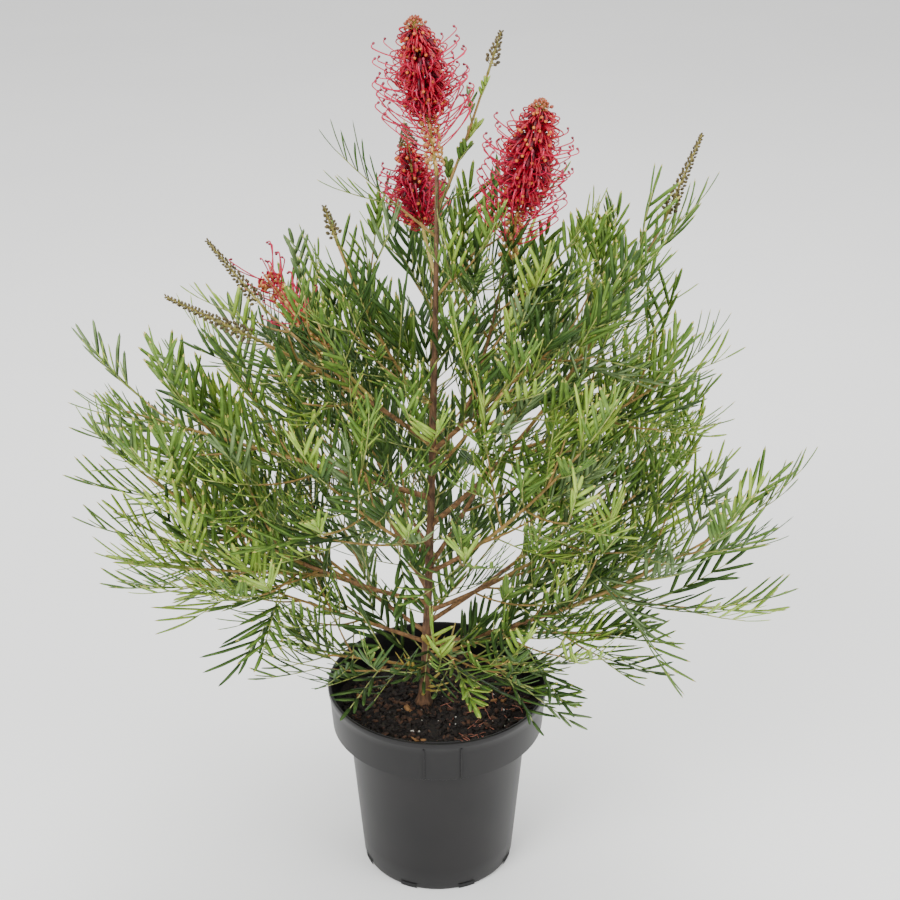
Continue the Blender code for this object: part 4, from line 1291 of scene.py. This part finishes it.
    def grow(self, row: Head, rank: int) -> None:
        """Grows one flower head.

        Args:
            row: The head's sizes.
            rank: Its place in the table, which seeds it.
        """
        chance = random.Random(FIRST_HEAD_SEED + rank)
        tip = polar(row.azimuth, row.reach, row.top)
        limb = Limb(self.shrub.carrier_point(row), tip, row.arch, *self.stalk_radii)
        shares = [i / self.stalk_steps for i in range(self.stalk_steps + 1)]
        self.stalks.tube([limb.point(s) for s in shares], [limb.radius(s) for s in shares], 8)
        head = row.stalk + (1 - row.stalk) * row.spent
        for i in range(row.florets):
            share = (i + 0.5) / row.florets
            t = head + (self.last_floret - head) * share
            way = limb.direction(t)
            swell = math.sin(math.pi * (0.24 + 0.60 * share))
            size = row.radius * swell * chance.uniform(0.9, 1.1)
            out = around(way, i * GOLDEN) + way * chance.uniform(-0.35, 0.45)
            out = unit(out + across(way) * chance.uniform(-0.3, 0.3))
            base = limb.point(t)
            if row.stage is Stage.OVER:
                self.over_floret(base, out, way, row, i, chance)
                continue
            look = int(chance.random() < self.deep_share)
            golden = chance.random() < self.golden_share
            self.floret(base, out, way, size * self.floret_size, look, golden)
            reach = size * chance.uniform(0.95, 1.40)
            self.loop(base, out, way, reach, chance.uniform(-0.7, 0.7))
        if row.stage is not Stage.OVER:
            self.long_styles(row, limb, head, chance)
            self.top_buds(row, limb, chance)
        if row.spent > self.spent_from:
            for i in range(self.spent_count):
                t = row.stalk + (head - row.stalk) * (i + 0.5) / self.spent_count
                way = limb.direction(t)
                out = around(way, i * GOLDEN)
                self.spent_floret(limb.point(t), out, way, self.spent_size, chance)

    def over_floret(
        self,
        base: np.ndarray,
        out: np.ndarray,
        way: np.ndarray,
        row: Head,
        number: int,
        chance: random.Random,
    ) -> None:
        """Adds one floret of the head that is nearly over.

        Args:
            base: Where it leaves the head's axis.
            out: The way out from the axis.
            way: The way the head points.
            row: The head's sizes.
            number: Which of the head's florets it is.
            chance: The head's random source.
        """
        self.spent_floret(base, out, way, self.over_size, chance)
        if number % 3 != 2:
            lift = chance.uniform(0.0, 0.9)
            self.style(base + out * 0.002, unit(out + UP * 0.7), way, row.style, lift)
        if (number + 0.5) / row.florets > self.over_open_from:
            self.floret(base, out, way, self.over_open_size, 0, True)
            self.loop(base, out, way, self.over_open_size, chance.uniform(-0.7, 0.7))

    def top_buds(self, row: Head, limb: Limb, chance: random.Random) -> None:
        """Adds the florets still in bud at the head's tip.

        Args:
            row: The head's sizes.
            limb: Its stalk and axis.
            chance: The head's random source.
        """
        late = row.stage is Stage.LATE
        length = 0.020 if late else 0.009
        longest = 0.0085 if late else 0.0100
        count = 60 if late else 34
        way = limb.direction(1.0)
        self.stalks.tube([limb.tip, limb.tip + way * length], [0.0011, 0.0006], 6)
        for i in range(count):
            share = (i + 0.5) / count
            base = limb.tip + way * length * (share - 0.25)
            tilt = unit(around(way, i * GOLDEN) + way * (0.5 + share))
            reach = longest * (1 - 0.72 * share) * chance.uniform(0.85, 1.1)
            size = 0.0015 - 0.0006 * share
            centre = base + tilt * reach
            self.stalks.tube([base, centre], [self.bud_stalk_radius] * 2, 3)
            line = [centre + tilt * size * place for place in self.bud_places]
            self.buds.tube(line, [size * radius for radius in self.bud_radii], 6, int(late))

    def spent_floret(
        self, base: np.ndarray, out: np.ndarray, way: np.ndarray, size: float, chance: random.Random
    ) -> None:
        """Adds one dried, curled floret on its short stalk.

        Args:
            base: Where it leaves the head's axis.
            out: The way out from the axis.
            way: The way the head points.
            size: Its length.
            chance: The head's random source.
        """
        line = []
        last = len(self.spent_radii) - 1
        for k in range(last + 1):
            s = k / last
            spread = out * (0.2 + 0.6 * math.sin(s * 2.2))
            line.append(base + (spread - way * (0.5 * s**2 - 0.2)) * size)
        radii = [size * radius * chance.uniform(0.8, 1.2) for radius in self.spent_radii]
        self.spent.tube(line, radii, 4)

    def build(self) -> None:
        """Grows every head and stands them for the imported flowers."""
        for rank, row in enumerate(HEADS):
            self.grow(row, rank)
        heads = [row.name for row in HEADS]
        open_heads = [row.name for row in HEADS if row.stage is not Stage.OVER]
        self.stalks.write(heads)
        self.petals.write(open_heads)
        self.styles.write(heads)
        self.spent.write(heads)
        self.buds.write(open_heads)


@dataclass
class Pot:
    """The thin nursery pot with its rim, label panel, ribs and drain notches.

    Outer and inner are its profile, as radius and height in metres, from the underside's
    edge up to the rim and down inside to below the mix.
    """

    sides: int = 192
    crease: float = math.radians(35)
    outer: tuple[tuple[float, float], ...] = (
        (0.0665, 0.0000),
        (0.0690, 0.0008),
        (0.0705, 0.0040),
        (0.0722, 0.0240),
        (0.0756, 0.0660),
        (0.0790, 0.1080),
        (0.0812, 0.1370),
        (0.0815, 0.1400),
        (0.0955, 0.1452),
        (0.0965, 0.1460),
        (0.0976, 0.1600),
        (0.0985, 0.1740),
        (0.0990, 0.1800),
        (0.1000, 0.1815),
        (0.1003, 0.1845),
        (0.0998, 0.1862),
        (0.0985, 0.1868),
    )
    inner: tuple[tuple[float, float], ...] = (
        (0.0974, 0.1864),
        (0.0968, 0.1850),
        (0.0955, 0.1640),
        (0.0945, 0.1480),
    )
    notches: int = 8
    notch_steps: int = 6
    notch_width: float = 0.016
    notch_height: float = 0.005
    notch_foot: float = 0.0008
    notch_radii: tuple[float, float] = (0.07035, 0.07115)
    rib_gap: float = 0.033
    rib_width: float = 0.0016
    rib_depth: float = 0.0009
    rib_middle: float = 0.005
    rib_profile: tuple[int, int] = (8, 13)
    recess: float = 0.0006
    recess_heights: tuple[float, float] = (0.145, 0.180)
    tab_radii: tuple[float, float] = (0.0968, 0.0984)
    tab_heights: tuple[float, float] = (0.1855, 0.1880)
    tab_width: float = 0.94
    tab_steps: int = 8
    rim_radius: float = 0.0985
    foot_radius: float = 0.0700

    def in_panel(self, x: float, y: float, height: float) -> bool:
        """Whether a point of the wall lies in the recessed panel between the ribs."""
        low, high = self.recess_heights
        return y < 0 and abs(x - self.rib_middle) < self.rib_gap / 2 and low < height < high

    def build(self) -> None:
        """Makes the pot's wall, ribs, tab and notches as one mesh."""
        profile = list(self.outer) + list(self.inner)
        angles = [2 * math.pi * (i + 0.5) / self.sides for i in range(self.sides)]
        mesher = Mesher("pot_wall", [POT_PLASTIC, POT_PAINTED_SHADE], "pot_plastic")
        rows = []
        for rank, (radius, height) in enumerate(profile):
            outside = rank < len(self.outer)
            for angle in angles:
                x, y = radius * math.cos(angle), radius * math.sin(angle)
                sunk = self.recess if outside and self.in_panel(x, y, height) else 0.0
                reach = radius - sunk
                rows.append((reach * math.cos(angle), reach * math.sin(angle), height))
        rows.append((0.0, 0.0, 0.0))
        faces = [band(ring * self.sides, self.sides) for ring in range(len(profile) - 1)]
        faces.append(fan(0, self.sides, len(rows) - 1)[:, [1, 0, 2]])
        mesher.add(np.array(rows), np.vstack(faces))
        self.add_ribs(mesher)
        self.add_tab(mesher)
        self.add_notches(mesher)
        for piece in mesher.write(["pot"]):
            piece.data.set_sharp_from_angle(angle=self.crease)

    def add_ribs(self, mesher: Mesher) -> None:
        """Adds the two upright ribs beside the label panel."""
        first, last = self.rib_profile
        line = self.outer[first:last]
        for way in (-1, 1):
            x = self.rib_middle + way * self.rib_gap / 2
            rows = []
            for radius, height in line:
                y = -math.sqrt(radius**2 - x**2)
                for dx, dy in ((-1, 0.4), (-1, -0.6), (1, -0.6), (1, 0.4)):
                    wide, deep = dx * self.rib_width / 2, dy * self.rib_depth * 1.6
                    rows.append((x + wide, y + deep, height))
            mesher.add(np.array(rows), bar(len(line)))

    def add_tab(self, mesher: Mesher) -> None:
        """Adds the low tab for a label on the rim, above the panel."""
        steps = np.linspace(-0.5, 0.5, self.tab_steps + 1)
        angles = steps * self.rib_gap * self.tab_width / self.rim_radius
        middle = -math.pi / 2 + self.rib_middle / self.rim_radius
        (near, far), (low, high) = self.tab_radii, self.tab_heights
        rows = []
        for angle in middle + angles:
            way = np.array([math.cos(angle), math.sin(angle), 0.0])
            for radius, height in ((near, low), (far, low), (far, high), (near, high)):
                rows.append(way * radius + UP * height)
        mesher.add(np.array(rows), bar(len(angles)))

    def add_notches(self, mesher: Mesher) -> None:
        """Adds the drain openings at the foot of the wall as dark sheets: painted shade, with no hole cut."""
        near, far = self.notch_radii
        low, high = self.notch_foot, self.notch_foot + self.notch_height
        faces = []
        for a in range(self.notch_steps):
            faces += [(2 * a, 2 * a + 2, 2 * a + 3), (2 * a, 2 * a + 3, 2 * a + 1)]
        for i in range(self.notches):
            middle = (i + 0.5) * 2 * math.pi / self.notches
            rows = []
            for s in np.linspace(-0.5, 0.5, self.notch_steps + 1):
                angle = middle + s * self.notch_width / self.foot_radius
                way = np.array([math.cos(angle), math.sin(angle), 0.0])
                rows += [way * near + UP * low, way * far + UP * high]
            mesher.add(np.array(rows), np.array(faces), 1)


@dataclass
class Mix:
    """The bark-based potting mix with chips, perlite and fallen styles.

    Shares are of the mix's radius, and the chips' sizes are in metres.
    """

    radius: float = 0.0950
    top: float = 0.160
    edge_drop: float = 0.003
    rings: int = 60
    sides: int = 150
    lumps: float = 90.0
    lump_height: float = 0.0022
    crumbs: float = 260.0
    crumb_height: float = 0.0012
    chips: int = 1500
    chips_to: float = 0.90
    perlite_share: float = 0.035
    dark_share: float = 0.80
    brown_share: float = 0.985
    short_share: float = 0.9
    styles: int = 46
    styles_to: float = 0.96
    style_steps: int = 5
    style_radius: float = 0.0004
    style_lift: float = 0.0016

    def height(self, x: float, y: float) -> float:
        """The height of the mix's surface."""
        reach = math.hypot(x, y) / self.radius
        lump = noise.noise(Vector((x * self.lumps, y * self.lumps, 3.0))) * self.lump_height
        crumb = noise.noise(Vector((x * self.crumbs, y * self.crumbs, 8.0))) * self.crumb_height
        return self.top - self.edge_drop * reach**2 + (lump + crumb)

    def chip(
        self,
        mesher: Mesher,
        chance: random.Random,
        spot: tuple[float, float],
        size: tuple[float, float, float],
        look: int,
    ) -> None:
        """Adds one bark chip as a rough small block.

        Args:
            mesher: What gathers the chips.
            chance: The mix's random source.
            spot: Where it lies.
            size: Its length, width and thickness.
            look: The finish number.
        """
        x, y = spot
        tilt = (chance.uniform(-0.5, 0.5), chance.uniform(-0.5, 0.5), chance.uniform(0, 6.3))
        turn = Euler(tilt).to_matrix()
        centre = np.array([x, y, self.height(x, y) + size[2] * 0.3])
        rows = []
        for signs in itertools.product((-1, 1), repeat=3):
            corner = [
                sign * span * chance.uniform(low, 1.0) / 2
                for sign, span, low in zip(signs, size, (0.6, 0.5, 0.6))
            ]
            rows.append(centre + np.array(turn @ Vector(corner)))
        mesher.add(np.array(rows), np.array(BLOCK_FACES), look)

    def build(self) -> None:
        """Makes the mix's surface and what lies on it."""
        self.build_surface()
        chance = random.Random(MIX_SEED)
        self.build_chips(chance)
        self.build_styles(chance)

    def build_surface(self) -> None:
        """Makes the mix's uneven surface."""
        surface = Mesher("potting_mix", [COMPOST], "potting_mix")
        rows = [(0.0, 0.0, self.height(0.0, 0.0))]
        for ring in range(1, self.rings + 1):
            radius = self.radius * ring / self.rings
            for k in range(self.sides):
                angle = 2 * math.pi * k / self.sides
                x, y = radius * math.cos(angle), radius * math.sin(angle)
                rows.append((x, y, self.height(x, y)))
        faces = [fan(1, self.sides, 0)]
        for ring in range(self.rings - 1):
            faces.append(band(1 + ring * self.sides, self.sides)[:, ::-1])
        surface.add(np.array(rows), np.vstack(faces))
        surface.write(["soil"])

    def build_chips(self, chance: random.Random) -> None:
        """Strews bark chips and perlite over the surface."""
        chips = Mesher(
            "bark_chips", [CHIP_DARK, CHIP_BROWN, CHIP_TAN, PERLITE], "potting_mix", smooth=False
        )
        for _ in range(self.chips):
            reach = self.radius * self.chips_to * math.sqrt(chance.random())
            angle = chance.uniform(0, 2 * math.pi)
            spot = (reach * math.cos(angle), reach * math.sin(angle))
            draw = chance.random()
            if draw < self.perlite_share:
                size = chance.uniform(0.0010, 0.0022)
                self.chip(chips, chance, spot, (size, size, size), 3)
                continue
            look = 0 if draw < self.dark_share else 1 if draw < self.brown_share else 2
            short = draw < self.short_share
            long = chance.uniform(0.003, 0.009) if short else chance.uniform(0.006, 0.011)
            wide = long * chance.uniform(0.35, 0.7)
            thick = chance.uniform(0.001, 0.003)
            self.chip(chips, chance, spot, (long, wide, thick), look)
        chips.write(["soil"])

    def build_styles(self, chance: random.Random) -> None:
        """Strews fallen styles over the surface."""
        fallen = Mesher("fallen_styles", [FALLEN], "spent_blossom")
        for _ in range(self.styles):
            reach = self.radius * 0.9 * math.sqrt(chance.random())
            angle = chance.uniform(-1.3, 1.0)
            x, y = reach * math.cos(angle), reach * math.sin(angle)
            turn = chance.uniform(0, 6.3)
            long = chance.uniform(0.008, 0.020)
            bend = chance.uniform(-0.5, 0.5)
            line = []
            for i in range(self.style_steps + 1):
                s = i / self.style_steps
                px = x + long * s * math.cos(turn + bend * s)
                py = y + long * s * math.sin(turn + bend * s)
                if math.hypot(px, py) > self.radius * self.styles_to:
                    break
                line.append(np.array([px, py, self.height(px, py) + self.style_lift]))
            if len(line) > 2:
                fallen.tube(line, [self.style_radius] * len(line), 4)
        fallen.write(["soil"])


class Lamp(NamedTuple):
    """One soft area light: its name, place, width and power in watts."""

    name: str
    place: tuple[float, float, float]
    size: float
    power: float


@dataclass(frozen=True)
class Studio:
    """The plain pale floor, the soft lights and the camera."""

    camera_place: tuple[float, float, float] = (0.0114, -1.323, 1.077)
    camera_pitch: float = math.radians(63.62)
    lens: float = 69.12
    sensor: float = 36.0
    floor_reach: float = 30.0
    sky: tuple[float, float, float, float] = (1.0, 1.0, 1.0, 1.0)
    sky_strength: float = 1.05
    aim: tuple[float, float, float] = (0.0, 0.0, 0.4)
    lamps: tuple[Lamp, ...] = (
        Lamp("key_light", (-1.4, -1.9, 2.3), 1.6, 75.0),
        Lamp("fill_light", (1.9, -1.2, 1.5), 1.8, 34.0),
        Lamp("top_light", (0.2, 0.9, 2.6), 1.6, 46.0),
    )

    def light(self, lamp: Lamp) -> None:
        """Adds one soft area light aimed at the plant's middle."""
        data = bpy.data.lights.new(lamp.name, "AREA")
        data.shape = "DISK"
        data.size = lamp.size
        data.energy = lamp.power
        light = bpy.data.objects.new(lamp.name, data)
        light.location = lamp.place
        aim = Vector(self.aim) - Vector(lamp.place)
        light.rotation_euler = aim.to_track_quat("-Z", "Y").to_euler()
        bpy.context.scene.collection.objects.link(light)

    def lay_floor(self) -> None:
        """Lays the floor, as part of the studio and not of the plant."""
        mesh = bpy.data.meshes.new("floor")
        far = self.floor_reach
        corners = [(-far, -far, 0), (far, -far, 0), (far, far, 0), (-far, far, 0)]
        mesh.from_pydata(corners, [], [(0, 1, 2, 3)])
        mesh.materials.append(FLOOR.material())
        floor = bpy.data.objects.new("floor", mesh)
        bpy.context.scene.collection.objects.link(floor)
        floor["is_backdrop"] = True

    def set_camera(self) -> None:
        """Sets the camera at the photograph's viewing angle."""
        data = bpy.data.cameras.new("camera")
        data.lens = self.lens
        data.sensor_width = self.sensor
        camera = bpy.data.objects.new("camera", data)
        camera.location = self.camera_place
        camera.rotation_euler = (self.camera_pitch, 0.0, 0.0)
        bpy.context.scene.collection.objects.link(camera)
        bpy.context.scene.camera = camera

    def build(self) -> None:
        """Sets the floor, the world, the lights and the camera."""
        self.lay_floor()
        world = bpy.data.worlds.new("soft_sky")
        bpy.context.scene.world = world
        world.use_nodes = True
        background = world.node_tree.nodes["Background"]
        background.inputs["Color"].default_value = self.sky
        background.inputs["Strength"].default_value = self.sky_strength
        for lamp in self.lamps:
            self.light(lamp)
        self.set_camera()


def main() -> None:
    """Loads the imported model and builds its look."""
    logging.basicConfig(level=logging.INFO)
    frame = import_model()
    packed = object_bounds()
    packed_size = [list(corner) for corner in packed]
    CROWN.low, CROWN.high = np.array(packed_size)
    nodes = sorted(frame["nodes"])
    Pot().build()
    Mix().build()
    shrub = Shrub()
    shrub.build(nodes)
    FlowerHeads(shrub).build()
    Studio().build()


if __name__ == "__main__":
    main()
